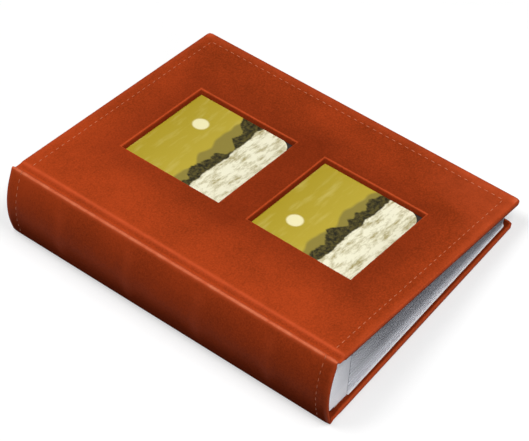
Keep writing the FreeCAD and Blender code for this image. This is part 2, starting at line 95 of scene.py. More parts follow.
# Joint grooves. A bend gives the start and end of a span on each side of a hinge.
GROOVE_LEVEL = -1.1 * MM
SHOULDER_RUN = 3.2 * MM
EDGE_RISE = (-3.0 * MM, 1.2 * MM)
BOARD_START = (-2.6 * MM, -0.2 * MM)
JOINT_THICK = 1.1 * MM
JOINT_END = 1.5 * MM
COVER_SEAM = 6.0 * MM
SHOULDER_SEAM = -6.3 * MM
GROOVE_SEAM = -3.2 * MM
SPINE_BEND = (-0.6 * MM, 1.4 * MM)
COVER_BEND = (-1.8 * MM, 1.5 * MM)

# Soft forms of the leather.
EDGE_ROLL = 1.3 * MM
LIP_ROLL = 0.5 * MM
ROLL_SHARE = 0.45
LIP_SHARE = 0.3
EDGE_FALL = 0.45 * MM
EDGE_FALL_WIDTH = 5.0 * MM
SWELL = 0.07 * MM
CALM_GROOVE = 14 * MM
CALM_EDGE = (2 * MM, 16 * MM)
SEAM_DEPTH = 0.22 * MM
SEAM_WIDTH = 0.9 * MM
BAND_RISE = 0.16 * MM
BAND_WIDTH = 3.4 * MM
BAND_ENDS = (1 * MM, 12 * MM)
BAND_PITCH = 51.7 * MM
BANDS = [BAND_PITCH * place for place in (-1.5, -0.5, 0.5, 1.5)]

# Grid of the leather.
SHOULDER_STEPS = 12
SPINE_STEPS = 46
JOINT_STEPS = 39
FLAT_STEPS = 5
COVER_STEP = 2.5 * MM
STRIP_STEP = 3.0 * MM
LEAST_STEP = 0.08 * MM
EDGE_ROOM = 0.2 * MM
FLOOR_ROOM = 0.02 * MM
EDGE_STEPS = np.array([
    0.3, 0.6, 1.0, 1.5, 2.1, 2.8, 3.6, 4.5, 5.4, 6.0, 6.5, 7.0, 7.4, 7.8, 8.3, 8.8, 9.4, 10.4,
]) * MM
TURN_IN_STEPS = (1.1 * MM, 2.0 * MM, 5.0 * MM, TURN_IN)

# Rub, which pales the leather, painted highlight, which pales it too, and painted shade, which darkens it. A
# reach is where each starts and is full.
FORE_RUB = 0.25
FORE_REACH = (9.0 * MM, 2.0 * MM)
END_RUB = 0.15
END_REACH = (5.5 * MM, 2.0 * MM)
STRIP_END_REACH = (3.5 * MM, 0.5 * MM)
# Paler with use and painted highlight at the fore corners.
CORNER_RUB_AND_HIGHLIGHT = 0.8
CORNER_REACH = (10 * MM, 2 * MM)
THUMB_RUB = 0.26
THUMB_REACH = (80 * MM, 20 * MM)
# Painted highlight along the crest of the front shoulder and just below it on the spine.
SHOULDER_PAINTED_HIGHLIGHT = 0.7
SHOULDER_WIDTH = 1.0 * MM
CREST_WIDTH = 2.6 * MM
# Painted highlight along the board's edge beside the groove.
BOARD_EDGE_PAINTED_HIGHLIGHT = 0.5
BOARD_EDGE = 0.1 * MM
BOARD_EDGE_WIDTH = 1.15 * MM
# Painted highlight on the raised bands across the spine.
BAND_PAINTED_HIGHLIGHT = 0.16
# Painted highlight on the window lips, weaker on their near sides.
LIP_PAINTED_HIGHLIGHT = 0.85
LIP_PLACE = -0.3 * MM
LIP_WIDTH = 0.5 * MM
NEAR_LIP_LOSS = 0.5
NEAR_LIP_REACH = 3 * MM
# Painted shade down the window walls.
WALL_PAINTED_SHADE = 0.3
WALL_REACH = (0.1 * MM, 0.5 * MM)
# Painted shade round the windows.
WINDOW_PAINTED_SHADE = 0.33
WINDOW_REACH = 16 * MM
# Painted shade in the joint grooves.
GROOVE_PAINTED_SHADE = 0.2
GROOVE_MIDDLE = -2.6 * MM
GROOVE_WIDTH = 1.6 * MM
# Painted shade over the lower spine, its back shoulder and the back joint.
FOOT_PAINTED_SHADE = -0.6
FOOT_REACH = (28 * MM, 2 * MM)
# Painted shade on the turn-ins; on the inner lip, painted shade for the front cover and painted highlight for
# the back.
TURN_IN_PAINTED_SHADE = -0.55
INNER_LIP = 1.2 * MM
INNER_LIP_PAINTED_LIGHT = {"front": -0.45, "back": 0.35}

# Windows.
PICTURE_MARGIN = 5.0 * MM
WALL_DEPTH = 2.8 * MM
WALL_RUN = 1.49 * MM
LIP_SOFTNESS = 0.17 * MM
BEAD_RISE = 0.16 * MM
BEAD_WIDTH = 0.9 * MM
WALL_STEPS = np.array([
    -2.6, -1.9, -1.4, -1.0, -0.7, -0.45, -0.25, -0.1, 0.05, 0.2, 0.4, 0.65, 1.0,
]) * MM

# Stitches. The first lies past the groove, and those of the spine end above its foot.
STITCH_INSET = 8.0 * MM
STITCH_START = 3.0 * MM
STITCH_PITCH = 4.85 * MM
STITCH_SIZES = {"Pitch": STITCH_PITCH, "Thread length": 2.8 * MM, "Thread width": 0.42 * MM}
SEWN_FOOT = (2 * MM, 7 * MM)
PATH_POINTS = 120

# Picture cards.
CARD_LEVEL = -2.86 * MM
CARD_THICK = 0.25 * MM
CARD_CORNER = 11.0 * MM
CARD_TUCK = 2.0 * MM
CARD_SHOW = 0.6 * MM
CARD_BOW = 0.125 * MM
POCKET_LEVEL = -3.28 * MM
POCKET_THICK = 0.08 * MM
CARD_STEPS = 24
CARD_CORNER_STEPS = 10
POCKET_STEPS = 4

# Leaves and the sheets between them.
LEAF_COUNT = sum(name.startswith("leaf_") and name.endswith("_card") for name in NODES)
LEAF_CORNER = 3.0 * MM
LEAF_CORNER_STEPS = 6
ROOT_REACH = 0.5 * MM
TIP_REACH = 0.3 * MM
INTERLEAF_SHEETS = 4
SHEET_ROOT = 0.48 * MM
SHEET_TIP = 0.06 * MM
SHEET_STAGGER = 0.4 * MM
STAGGER_TURN = 2.4
SHEET_START = 0.1 * MM
FLYLEAF_OVERHANG = 0.7 * MM
FLYLEAF_THICK = 0.15 * MM

# Painted shade on the leaf edges, greyer towards the top of the block under the front cover: shares of the
# block's height, and places along x and y.
LEAF_WHITE = (0.76, 0.78, 0.83, 1)
LEAF_SHADE = (0.70, 0.72, 0.78, 1)
EDGE_PAINTED_SHADE = (0.17, 0.175, 0.20, 1)
SHADE_HEIGHT = (0.24, 0.47)
SHADE_SHARE = (0.12, 1.0)
SHADE_REACH = (-90 * MM, -40 * MM)
SHADE_MARGIN = (114.0 * MM, 115.4 * MM)
MARGIN_SHARE = 0.7
# Painted light: the guards paler beside the spine, turning to leaf white away from it.
GUARD_PAINTED_LIGHT = (-88 * MM, -69 * MM)

# Painted sheen: the leather's tone slowly paler along x towards the spine and along y towards the head.
TONE_REACH = (-70 * MM, 60 * MM)
SPINE_PAINTED_SHEEN = 0.08
HEAD_PAINTED_SHEEN = 0.06

# Stage.
FLOOR_REACH = 6.0
FLOOR_LINES = 24
FLOOR_DROP = 0.05 * MM
FLOOR_GLOW = 0.45
SURROUND = 0.13
CAMERA_PLACE = (-640.58 * MM, -532.05 * MM, 970.91 * MM)
CAMERA_TURN = (40.7407, 1.3501, -51.8654)
CAMERA_LENS = 144.02
SENSOR_WIDTH = 36.0


def ramp(value, start, end):
    """Smooth step from 0 at start to 1 at end."""
    share = np.clip((value - start) / (end - start), 0, 1)
    return share * share * (3 - 2 * share)


def hump(value, middle, width):
    """Smooth rise to 1 at the middle."""
    return np.exp(-(((value - middle) / width) ** 2))


class Cover:
    """Axes and sizes of one cover and of its joint with the spine."""

    def __init__(self, side, ridge, stitched):
        near = Vector(JOINTS[side + "_joint_fold"]["pos_m"])
        far = Vector(JOINTS[side + "_cover_hinge"]["pos_m"])
        self.side = side
        self.ridge = ridge
        self.stitched = stitched
        self.along = (far - near).normalized()
        self.across = Vector((0, 1 if side == "front" else -1, 0))
        self.outward = self.along.cross(self.across)
        self.edge = far + EDGE_GAP * self.along + HINGE_DEPTH * self.outward
        self.far_s = -EDGE_GAP
        self.near_s = self.far_s - (far - near).length
        self.crest_s = self.near_s - SHOULDER_SETBACK
        self.width = self.span(side + "_leather", self.along)[1]
        self.half = self.span(side + "_leather", self.across)[1]
        self.shoulder = self.spot(self.crest_s, 0, ridge - SHOULDER_RADIUS)

    def span(self, node, axis):
        """Least and most reach of a node along an axis, from the cover's spine edge."""
        reach = [(vertex.co - self.edge).dot(axis) for vertex in NODES[node].data.vertices]
        return min(reach), max(reach)

    def spot(self, s, y, n):
        """Point at cover coordinates."""
        return self.edge + self.along * float(s) + self.across * float(y) + self.outward * float(n)

    def spots(self, s, y, n):
        """Points for arrays of cover coordinates."""
        s, y, n = np.broadcast_arrays(s, y, n)
        return (
            np.array(self.edge)
            + s[..., None] * np.array(self.along)
            + y[..., None] * np.array(self.across)
            + n[..., None] * np.array(self.outward)
        )

    def joint_level(self, s):
        """Level of the leather from the crest of the shoulder, through the groove, to the flat."""
        fall = ramp(s, self.crest_s, self.crest_s + SHOULDER_RUN)
        rise = ramp(s, *EDGE_RISE)
        return self.ridge + (GROOVE_LEVEL - self.ridge) * fall - GROOVE_LEVEL * rise

    def edge_distance(self, s, y):
        """Distance from the head, tail and fore edges, round the fore corners."""
        from_fore = self.width - s
        from_end = self.half - np.abs(y)
        into_s = COVER_CORNER - from_fore
        into_y = COVER_CORNER - from_end
        rounded = COVER_CORNER - np.hypot(into_s, into_y)
        in_corner = (into_s > 0) & (into_y > 0)
        return np.where(in_corner, rounded, np.minimum(from_fore, from_end))


FRONT = Cover("front", FRONT_RIDGE, True)
BACK = Cover("back", BACK_RIDGE, False)


def window_of(node):
    """Sides of a window on the front cover: spine, fore, tail and head side."""
    s_low, s_high = FRONT.span(node, FRONT.along)
    y_low, y_high = FRONT.span(node, FRONT.across)
    margin = PICTURE_MARGIN
    return s_low + margin, s_high - margin, y_low + margin, y_high - margin


WINDOWS = {name: window_of(name + "_picture") for name in ("upper", "lower")}


def inside_window(window, s, y):
    """Distance inwards from the nearest side of a window, less than 0 outside it."""
    s_low, s_high, y_low, y_high = window
    return np.minimum.reduce([s - s_low, s_high - s, y - y_low, y_high - y])


def edge_relief(distance, stitched):
    """Fall of the leather towards an edge, and the valley that a line of stitches pulls."""
    fall = -EDGE_FALL * np.clip(1 - distance / EDGE_FALL_WIDTH, 0, 1) ** 2
    return fall - stitched * SEAM_DEPTH * hump(distance, STITCH_INSET, SEAM_WIDTH)


def cover_relief(cover, s, y):
    """Soft form of a cover's outer face, its windows left out: slow waves of unlike lengths."""
    swell = (
        np.sin(s / (19 * MM) + 0.4) * np.cos(y / (27 * MM) + 1.1)
        + np.sin(s / (31 * MM) + y / (23 * MM))
        + 0.6 * np.sin(s / (11 * MM) - y / (17 * MM) + 2.0)
    )
    distance = cover.edge_distance(s, y)
    calm = ramp(s, 0, CALM_GROOVE) * ramp(distance, *CALM_EDGE)
    return edge_relief(distance, cover.stitched) + SWELL * swell * calm


def window_relief(s, y):
    """Wall, soft lip and bead of the windows."""
    level = np.zeros(np.broadcast(s, y).shape)
    slope = WALL_DEPTH / WALL_RUN
    for window in WINDOWS.values():
        inside = inside_window(window, s, y)
        level -= slope * LIP_SOFTNESS * np.logaddexp(0, inside / LIP_SOFTNESS)
        level += BEAD_RISE * hump(inside, -BEAD_WIDTH, BEAD_WIDTH)
    return np.maximum(level, -WALL_DEPTH)


def new_piece(name, points, faces, material, worn=None, flat=False):
    """Mesh object at the origin; worn is stored per point for the leather's finish: paler with use and
    painted highlight above 0, painted shade below 0.
    """
    points = np.asarray(points).reshape(-1, 3)
    used = np.unique([corner for face in faces for corner in face])
    renumber = np.zeros(len(points), int)
    renumber[used] = np.arange(len(used))
    faces = [renumber[list(face)].tolist() for face in faces]
    mesh = bpy.data.meshes.new(name)
    mesh.from_pydata(points[used].tolist(), [], faces, shade_flat=flat)
    mesh.materials.append(material)
    if worn is not None:
        layer = mesh.attributes.new("worn", "FLOAT", "POINT")
        layer.data.foreach_set("value", np.asarray(worn, np.float32).ravel()[used])
    piece = bpy.data.objects.new(name, mesh)
    bpy.context.scene.collection.objects.link(piece)
    return piece


def grid_faces(rows, columns):
    """Quads of a grid whose points are numbered row by row."""
    faces = []
    for row in range(rows - 1):
        for column in range(columns - 1):
            first = row * columns + column
            faces.append((first, first + columns, first + columns + 1, first + 1))
    return faces


def rim_rings(roll, thick):
    """Inset from the edge and drop below the face, ring by ring, round an edge to its turn-in."""
    under = np.minimum(LIP_ROLL, LIP_SHARE * thick)
    rings = []
    for turn in np.radians((18, 36, 54, 72, 90)):
        rings.append((roll * (1 - math.sin(turn)), roll * (1 - math.cos(turn))))
    for turn in np.radians((0, 30, 60, 90)):
        inset = under * (1 - math.cos(turn))
        rings.append((inset, thick - under * (1 - math.sin(turn))))
    return rings + [(width, thick) for width in TURN_IN_STEPS]


def round_corner(s, y, middle_s, middle_y, side_y, radius):
    """Draw the square corner of a grid in to a round one."""
    across = (s - middle_s) / radius
    up = side_y * (y - middle_y) / radius
    in_corner = (across > 0) & (up > 0)
    across, up = np.where(in_corner, across, 0), np.where(in_corner, up, 0)
    round_s = middle_s + radius * across * np.sqrt(1 - up**2 / 2)
    round_y = middle_y + side_y * radius * up * np.sqrt(1 - across**2 / 2)
    return np.where(in_corner, round_s, s), np.where(in_corner, round_y, y)


def tidy_lines(lines, low, high):
    """Sorted grid lines between two ends, with those too close together left out."""
    kept = [low]
    for line in sorted(lines):
        if kept[-1] + LEAST_STEP < line < high - LEAST_STEP:
            kept.append(line)
    return np.array(kept + [high])


def edge_lines(edge, inwards):
    """Closer grid lines near an outer edge and along its stitches."""
    return list(edge + inwards * (EDGE_STEPS + EDGE_ROLL))


def window_lines(low, high):
    """Grid lines round two facing sides of a window."""
    lines = list(low + WALL_STEPS) + list(high - WALL_STEPS)
    return lines + [low + WALL_RUN, high - WALL_RUN]


def window_highlight_and_shade(window, s, y):
    """Painted highlight on a window's lip, most on its fore and head sides, and painted shade down its walls.
    """
    inside = inside_window(window, s, y)
    far = np.minimum(window[1] - s, window[3] - y)
    near = ramp(far - inside, 0, NEAR_LIP_REACH)
    paling = LIP_PAINTED_HIGHLIGHT * hump(inside, LIP_PLACE, LIP_WIDTH) * (1 - NEAR_LIP_LOSS * near)
    return paling - WALL_PAINTED_SHADE * ramp(inside, *WALL_REACH)


def cover_wear_and_painted_light(cover, s, y):
    """Rub of a cover's outer face along its edges and where it is held, paler with use and painted highlight
    at the fore corners, and on the front cover painted shade round the windows, their lips' painted highlight
    and their walls' painted shade.
    """
    from_fore, from_end = cover.width - s, cover.half - np.abs(y)
    edge = np.maximum(END_RUB * ramp(from_end, *END_REACH), FORE_RUB * ramp(from_fore, *FORE_REACH))
    # Paler with use and painted highlight at the fore corners.
    worn = np.maximum(edge, CORNER_RUB_AND_HIGHLIGHT * ramp(np.hypot(from_fore, from_end), *CORNER_REACH))
    if cover is FRONT:
        worn = worn + THUMB_RUB * ramp(np.hypot(from_fore, cover.half + y), *THUMB_REACH)
        for window in WINDOWS.values():
            # Painted shade round each window.
            outside = np.maximum(0, -inside_window(window, s, y))
            worn = worn - WINDOW_PAINTED_SHADE * hump(outside, 0, WINDOW_REACH) + window_highlight_and_shade(window, s, y)
    return worn


def ring_wear_and_painted_light(inset, drop, thick, side):
    """Rub round an edge, painted shade on the front cover's inner lip and painted highlight on the back's,
    and painted shade on the turn-in behind them.
    """
    if inset > INNER_LIP:
        return TURN_IN_PAINTED_SHADE
    return FORE_RUB if drop < thick / 2 else INNER_LIP_PAINTED_LIGHT[side]


def cover_skin(cover, material):
    """Leather of a cover from the seam near its spine edge, over the edges, to the turn-ins."""
    fore, half = cover.width - EDGE_ROLL, cover.half - EDGE_ROLL
    lines_s = list(np.arange(COVER_SEAM, fore, COVER_STEP)) + edge_lines(fore, -1)
    lines_y = list(np.arange(-half, half, COVER_STEP)) + edge_lines(half, -1) + edge_lines(-half, 1)
    if cover is FRONT:
        for s_low, s_high, y_low, y_high in WINDOWS.values():
            lines_s += window_lines(s_low, s_high)
            lines_y += window_lines(y_low, y_high)
    lines_s = tidy_lines(lines_s, COVER_SEAM, fore)
    lines_y = tidy_lines(lines_y, -half, half)
    s, y = np.meshgrid(lines_s, lines_y, indexing="ij")
    corner = COVER_CORNER - EDGE_ROLL
    middle_s, middle_y = fore - corner, half - corner
    for side in (1, -1):
        s, y = round_corner(s, y, middle_s, side * middle_y, side, corner)
    level = cover_relief(cover, s, y)
    rows, columns = s.shape
    faces = grid_faces(rows, columns)
    if cover is FRONT:
        level = level + window_relief(s, y)
        for window in WINDOWS.values():
            floor = inside_window(window, s, y).ravel() > WALL_RUN - FLOOR_ROOM
            faces = [face for face in faces if not floor[list(face)].all()]
    points = [cover.spots(s, y, level).reshape(-1, 3)]
    worn = [cover_wear_and_painted_light(cover, s, y).ravel()]

    # boundary from the seam along the head, the fore edge and the tail, back to the seam
    number = np.arange(rows * columns).reshape(rows, columns)
    rim = np.concatenate((number[:, -1], number[-1, -2::-1], number[-2::-1, 0]))
    rim_s, rim_y, rim_n = s.ravel()[rim], y.ravel()[rim], level.ravel()[rim]
    out_s = np.maximum(rim_s - middle_s, 0)
    out_y = np.sign(rim_y) * np.maximum(np.abs(rim_y) - middle_y, 0)
    length = np.hypot(out_s, out_y)
    out_s, out_y = out_s / length, out_y / length
    earlier = rim
    for inset, drop in rim_rings(EDGE_ROLL, COVER_THICK):
        shift = EDGE_ROLL - inset
        limit = cover.half - inset
        ring_s = np.minimum(rim_s + out_s * shift, cover.width - inset)
        ring_y = np.clip(rim_y + out_y * shift, -limit, limit)
        ring_n = np.where(drop < COVER_THICK / 2, rim_n - drop, -drop)
        later = sum(len(ring) for ring in points) + np.arange(len(rim))
        points.append(cover.spots(ring_s, ring_y, ring_n))
        worn.append(np.full(len(rim), ring_wear_and_painted_light(inset, drop, COVER_THICK, cover.side)))
        for index in range(len(rim) - 1):
            faces.append((earlier[index], earlier[index + 1], later[index + 1], later[index]))
        earlier = later
    name = cover.side + "_cover_leather"
    piece = new_piece(name, np.concatenate(points), faces, material, np.concatenate(worn))
    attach(piece, cover.side + "_cover")
    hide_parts(cover.side + "_leather")


Station = collections.namedtuple("Station", "x z thick stitched band cover s worn")


def joint_stations(cover):
    """Section of one joint, from the shoulder's crest to the seam on the cover."""
    close = np.linspace(cover.crest_s, JOINT_END, JOINT_STEPS)[1:]
    flat = np.linspace(JOINT_END, COVER_SEAM, FLAT_STEPS)[1:]
    stations = []
    for s in sorted([*close, *flat, SHOULDER_SEAM, GROOVE_SEAM]):
        place = cover.spot(s, 0, cover.joint_level(s))
        thick = JOINT_THICK + (COVER_THICK - JOINT_THICK) * float(ramp(s, *BOARD_START))
        # Front joint: painted highlight along the shoulder's crest; back joint: painted shade.
        crest = float(hump(s, cover.crest_s, CREST_WIDTH)) if cover is FRONT else FOOT_PAINTED_SHADE
        # Painted highlight along the board's edge.
        board_edge = BOARD_EDGE_PAINTED_HIGHLIGHT * float(hump(s, BOARD_EDGE, BOARD_EDGE_WIDTH))
        # Painted shade in the groove.
        worn = max(crest, board_edge) - GROOVE_PAINTED_SHADE * float(hump(s, GROOVE_MIDDLE, GROOVE_WIDTH))
        stations.append(Station(place.x, place.z, thick, float(cover.stitched), 0, cover, s, worn))
    return stations


def spine_stations():
    """Section of the spine from the crest of its back shoulder to that of its front shoulder."""
    low = np.array((BACK.shoulder.x, BACK.shoulder.z))
    high = np.array((FRONT.shoulder.x, FRONT.shoulder.z))
    chord = np.linalg.norm(high - low)
    rise = (high - low) / chord
    inwards = np.array((rise[1], -rise[0]))
    radius = (chord**2 / 4 + SPINE_BULGE**2) / (2 * SPINE_BULGE)
    centre = (low + high) / 2 + inwards * (radius - SPINE_BULGE)

    def direction(x, z):
        return math.atan2(z, x) % (2 * math.pi)

    low_turn, high_turn = direction(*(low - centre)), direction(*(high - centre))
    arc = radius * (low_turn - high_turn)
    back_out = direction(BACK.outward.x, BACK.outward.z)
    front_out = direction(FRONT.outward.x, FRONT.outward.z)
    stations = []

    def add(middle, size, turn, thick, stitched, band, worn):
        x = middle[0] + size * math.cos(turn)
        z = middle[1] + size * math.sin(turn)
        stations.append(Station(x, z, thick, stitched, band, None, None, worn))

    # Back shoulder: painted shade.
    for turn in np.linspace(back_out, low_turn, SHOULDER_STEPS)[:-1]:
        add(low, SHOULDER_RADIUS, turn, JOINT_THICK, 0.0, 0.0, FOOT_PAINTED_SHADE)
    for turn in np.linspace(low_turn, high_turn, SPINE_STEPS):
        from_low = radius * (low_turn - turn)
        from_high = arc - from_low
        near_end = min(from_low, from_high)
        thick = JOINT_THICK + (SPINE_THICK - JOINT_THICK) * float(ramp(near_end, 0, SPINE_THINNED))
        # Painted highlight just below the front shoulder, and painted shade over the lower spine.
        worn = SHOULDER_PAINTED_HIGHLIGHT * hump(from_high, 0, SHOULDER_WIDTH) + FOOT_PAINTED_SHADE * ramp(from_low, *FOOT_REACH)
        stitched = float(ramp(from_low, *SEWN_FOOT))
        band = float(ramp(near_end, *BAND_ENDS))
        add(centre, radius + SHOULDER_RADIUS, turn, thick, stitched, band, float(worn))
    # Front shoulder: painted highlight.
    for turn in np.linspace(high_turn, front_out, SHOULDER_STEPS)[1:]:
        add(high, SHOULDER_RADIUS, turn, JOINT_THICK, 1.0, 0.0, 1.0)
    return stations


def wrap_stations():
    """Section of the leather from the back cover, round the spine, to the front cover."""
    stations = joint_stations(BACK)[::-1] + spine_stations() + joint_stations(FRONT)
    places = np.array([(station.x, station.z) for station in stations])
    run = np.gradient(places, axis=0)
    normals = np.stack((-run[:, 1], run[:, 0]), axis=1)
    normals /= np.linalg.norm(normals, axis=1)[:, None]
    return stations, places, normals


STATIONS, STATION_PLACES, STATION_NORMALS = wrap_stations()


def station_at(cover, s):
    """Number of the station on a cover's joint that lies nearest to s."""
    near = [abs(station.s - s) if station.cover is cover else 1 for station in STATIONS]
    return int(np.argmin(near))


def strip_relief(station, y):
    """Soft form of the wrapped leather along one station."""
    if station.cover is not None and station.s > 0:
        return cover_relief(station.cover, station.s, y * station.cover.across.y)
    relief = edge_relief(FRONT.half - np.abs(y), station.stitched)
    for middle in BANDS:
        relief = relief + station.band * BAND_RISE * hump(y, middle, BAND_WIDTH)
    return relief


def station_points(number, y, level):
    """Points along a station, raised from it by their level."""
    x = STATION_PLACES[number, 0] + STATION_NORMALS[number, 0] * level
    z = STATION_PLACES[number, 1] + STATION_NORMALS[number, 1] * level
    return np.stack((x, y, z), axis=1)


def wrapped_strip(name, first, last, material):
    """Leather along part of the section, with its head and tail ends turned in."""
    half = FRONT.half
    lines = list(np.arange(-half, half, STRIP_STEP)) + edge_lines(half - EDGE_ROLL, -1)
    lines = tidy_lines(lines + edge_lines(EDGE_ROLL - half, 1), -half, half)[1:-1]
    lines = lines[np.abs(lines) < half - EDGE_ROLL - EDGE_ROOM]
    points, strip_wear_and_light = [], []
    for number in range(first, last + 1):
        station = STATIONS[number]
        roll = min(EDGE_ROLL, ROLL_SHARE * station.thick)
        y = np.concatenate(([roll - half], lines, [half - roll]))
        level = strip_relief(station, y)
        near_end = ramp(half - np.abs(y), *STRIP_END_REACH)
        worn = station.worn + (max(station.worn, FORE_RUB) - station.worn) * near_end
        # Painted highlight along the raised bands.
        for middle in BANDS:
            worn = worn + station.band * BAND_PAINTED_HIGHLIGHT * hump(y, middle, BAND_WIDTH)
        side = "back" if station.cover is BACK else "front"
        ring_y, ring_level, ring_wear_and_light = [], [], []
        for inset, depth in rim_rings(roll, station.thick):
            ring_y.append(half - inset)
            ring_level.append(level[-1] - depth if depth < station.thick / 2 else -depth)
            ring_wear_and_light.append(ring_wear_and_painted_light(inset, depth, station.thick, side))
        y = np.concatenate((-np.array(ring_y[::-1]), y, ring_y))
        level = np.concatenate((ring_level[::-1], level, ring_level))
        strip_wear_and_light.append(np.concatenate((ring_wear_and_light[::-1], worn, ring_wear_and_light)))
        points.append(station_points(number, y, level))
    faces = grid_faces(len(points), len(points[0]))
    piece = new_piece(name, np.array(points), faces, material, np.array(strip_wear_and_light))
    return piece


def wrap_case(material):
    """Leather of the spine and of both joints."""
    front_shoulder, back_shoulder = station_at(FRONT, SHOULDER_SEAM), station_at(BACK, SHOULDER_SEAM)
    spine = wrapped_strip("spine_wrap", back_shoulder, front_shoulder, material)
    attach(spine, "spine")
    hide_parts("spine_leather")
    for cover in (FRONT, BACK):
        shoulder = station_at(cover, SHOULDER_SEAM)
        groove = station_at(cover, GROOVE_SEAM)
        seam = station_at(cover, COVER_SEAM)
        joint = cover.side + "_joint"
        inner = wrapped_strip(joint + "_inner", *sorted((shoulder, groove)), material)
        outer = wrapped_strip(joint + "_outer", *sorted((groove, seam)), material)
        [cover.spot(cover.near_s + end, 0, 0) for end in SPINE_BEND]
        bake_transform(inner)
        ends = [cover.spot(cover.far_s + end, 0, 0) for end in COVER_BEND]
        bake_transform(outer)
        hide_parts(joint + "_leather")
        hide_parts(joint + "_leather")


class NodeTree:
    """Short way to add and join the nodes of a tree."""

    def __init__(self, tree):
        self.tree = tree

    def feed(self, socket, source):
        """Join a node's output to a socket, or set the socket's own value."""
        if isinstance(source, bpy.types.NodeSocket):
            self.tree.links.new(source, socket)
        else:
            socket.default_value = source

    def add(self, kind, inputs=None, **settings):
        """New node with its settings, and its inputs fed by name or number."""
        node = self.tree.nodes.new(kind)
        for name, setting in settings.items():
            setattr(node, name, setting)
        for name, source in (inputs or {}).items():
            self.feed(node.inputs[name], source)
        return node

    def math(self, operation, *values):
        return self.add("ShaderNodeMath", dict(enumerate(values)), operation=operation).outputs[0]

    def mix(self, share, first, second):
        """Mix of two colours."""
        return self.add("ShaderNodeMix", {0: share, 6: first, 7: second}, data_type="RGBA").outputs[2]

    def noise(self, vector, scale, detail=2.0, rough=0.5):
        inputs = {"Vector": vector, "Scale": scale, "Detail": detail, "Roughness": rough}
        return self.add("ShaderNodeTexNoise", inputs).outputs[0]

    def spread(self, value, low, high, new_low=0.0, new_high=1.0):
        """Map one range to another, with the ends held."""
        inputs = {"Value": value, "From Min": low, "From Max": high, "To Min": new_low, "To Max": new_high}
        return self.add("ShaderNodeMapRange", inputs).outputs["Result"]

    def vector(self, **parts):
        return self.add("ShaderNodeCombineXYZ", parts).outputs["Vector"]

    def parts(self, vector):
        return self.add("ShaderNodeSeparateXYZ", {"Vector": vector}).outputs

    def group(self, tree, **inputs):
        return self.add("ShaderNodeGroup", inputs, node_tree=tree).outputs


def new_group(name, inputs, outputs):
    """Empty shader node group; an input without a value of its own is a vector."""
    tree = bpy.data.node_groups.new(name, "ShaderNodeTree")
    for label, default in inputs.items():
        kind = "NodeSocketVector" if default is None else "NodeSocketFloat"
        socket = tree.interface.new_socket(label, in_out="INPUT", socket_type=kind)
        if default is not None:
            socket.default_value = default
    for label in outputs:
        kind = "NodeSocketColor" if label == "Color" else "NodeSocketFloat"
        tree.interface.new_socket(label, in_out="OUTPUT", socket_type=kind)
    build = NodeTree(tree)
    return build, build.add("NodeGroupInput").outputs, build.add("NodeGroupOutput").inputs


def sheet_section(node):
    """Root and tip of a sheet's middle plane, as (x, z)."""
    points = np.array([vertex.co for vertex in NODES[node].data.vertices])
    x = points[:, 0]
    near = points[x < x.min() + ROOT_REACH]
    far = points[x > x.max() - TIP_REACH]
    return [(side.min(axis=0) + side.max(axis=0))[[0, 2]] / 2 for side in (near, far)]


def leather_grain_and_sheen_group():
    """Mottled tone and fine pebbled height of smooth leather coloured with dye, with a painted sheen that
    pales it towards the spine and the head.
    """
    build, given, result = new_group(
        "leather_grain_and_painted_sheen", {"Vector": None, "Grain": 900.0}, ("Tone", "Height", "Polish"),
    )
    broad = build.noise(given["Vector"], 22.0, 2.0)
    patches = build.noise(given["Vector"], 130.0, 3.0, 0.6)
    fine = build.noise(given["Vector"], given["Grain"], 3.0, 0.6)
    cells = build.add(
        "ShaderNodeTexVoronoi",
        {"Vector": given["Vector"], "Scale": given["Grain"]},
        feature="SMOOTH_F1",
    ).outputs["Distance"]
    place = build.parts(given["Vector"])
    tone = build.math("MULTIPLY_ADD", patches, 0.17, build.math("MULTIPLY", broad, 0.48))
    tone = build.math("ADD", tone, build.math("MULTIPLY_ADD", fine, 0.75, -0.20))
    # Painted sheen, paler towards the spine.
    tone = build.math("ADD", tone, build.spread(place["X"], *TONE_REACH, SPINE_PAINTED_SHEEN, -SPINE_PAINTED_SHEEN))
    # Painted sheen, paler towards the head.
    head_sheen = build.spread(place["Y"], -FRONT.half, FRONT.half, -HEAD_PAINTED_SHEEN, HEAD_PAINTED_SHEEN)
    tone = build.math("ADD", tone, head_sheen)
    build.feed(result["Tone"], build.spread(tone, 0.3, 0.7))
    build.feed(result["Height"], build.math("MULTIPLY_ADD", fine, 0.7, build.math("MULTIPLY", cells, 0.6)))
    build.feed(result["Polish"], patches)
    return build.tree


def paper_fibre_group():
    """Slight cloudiness and tooth of paper and board."""
    build, given, result = new_group("paper_fibre", {"Vector": None, "Fibre": 1200.0}, ("Cloud", "Tooth"))
    cloud = build.noise(given["Vector"], 60.0, 3.0, 0.6)
    build.feed(result["Cloud"], build.spread(cloud, 0.3, 0.7))
    build.feed(result["Tooth"], build.noise(given["Vector"], given["Fibre"], 3.0, 0.7))
    return build.tree


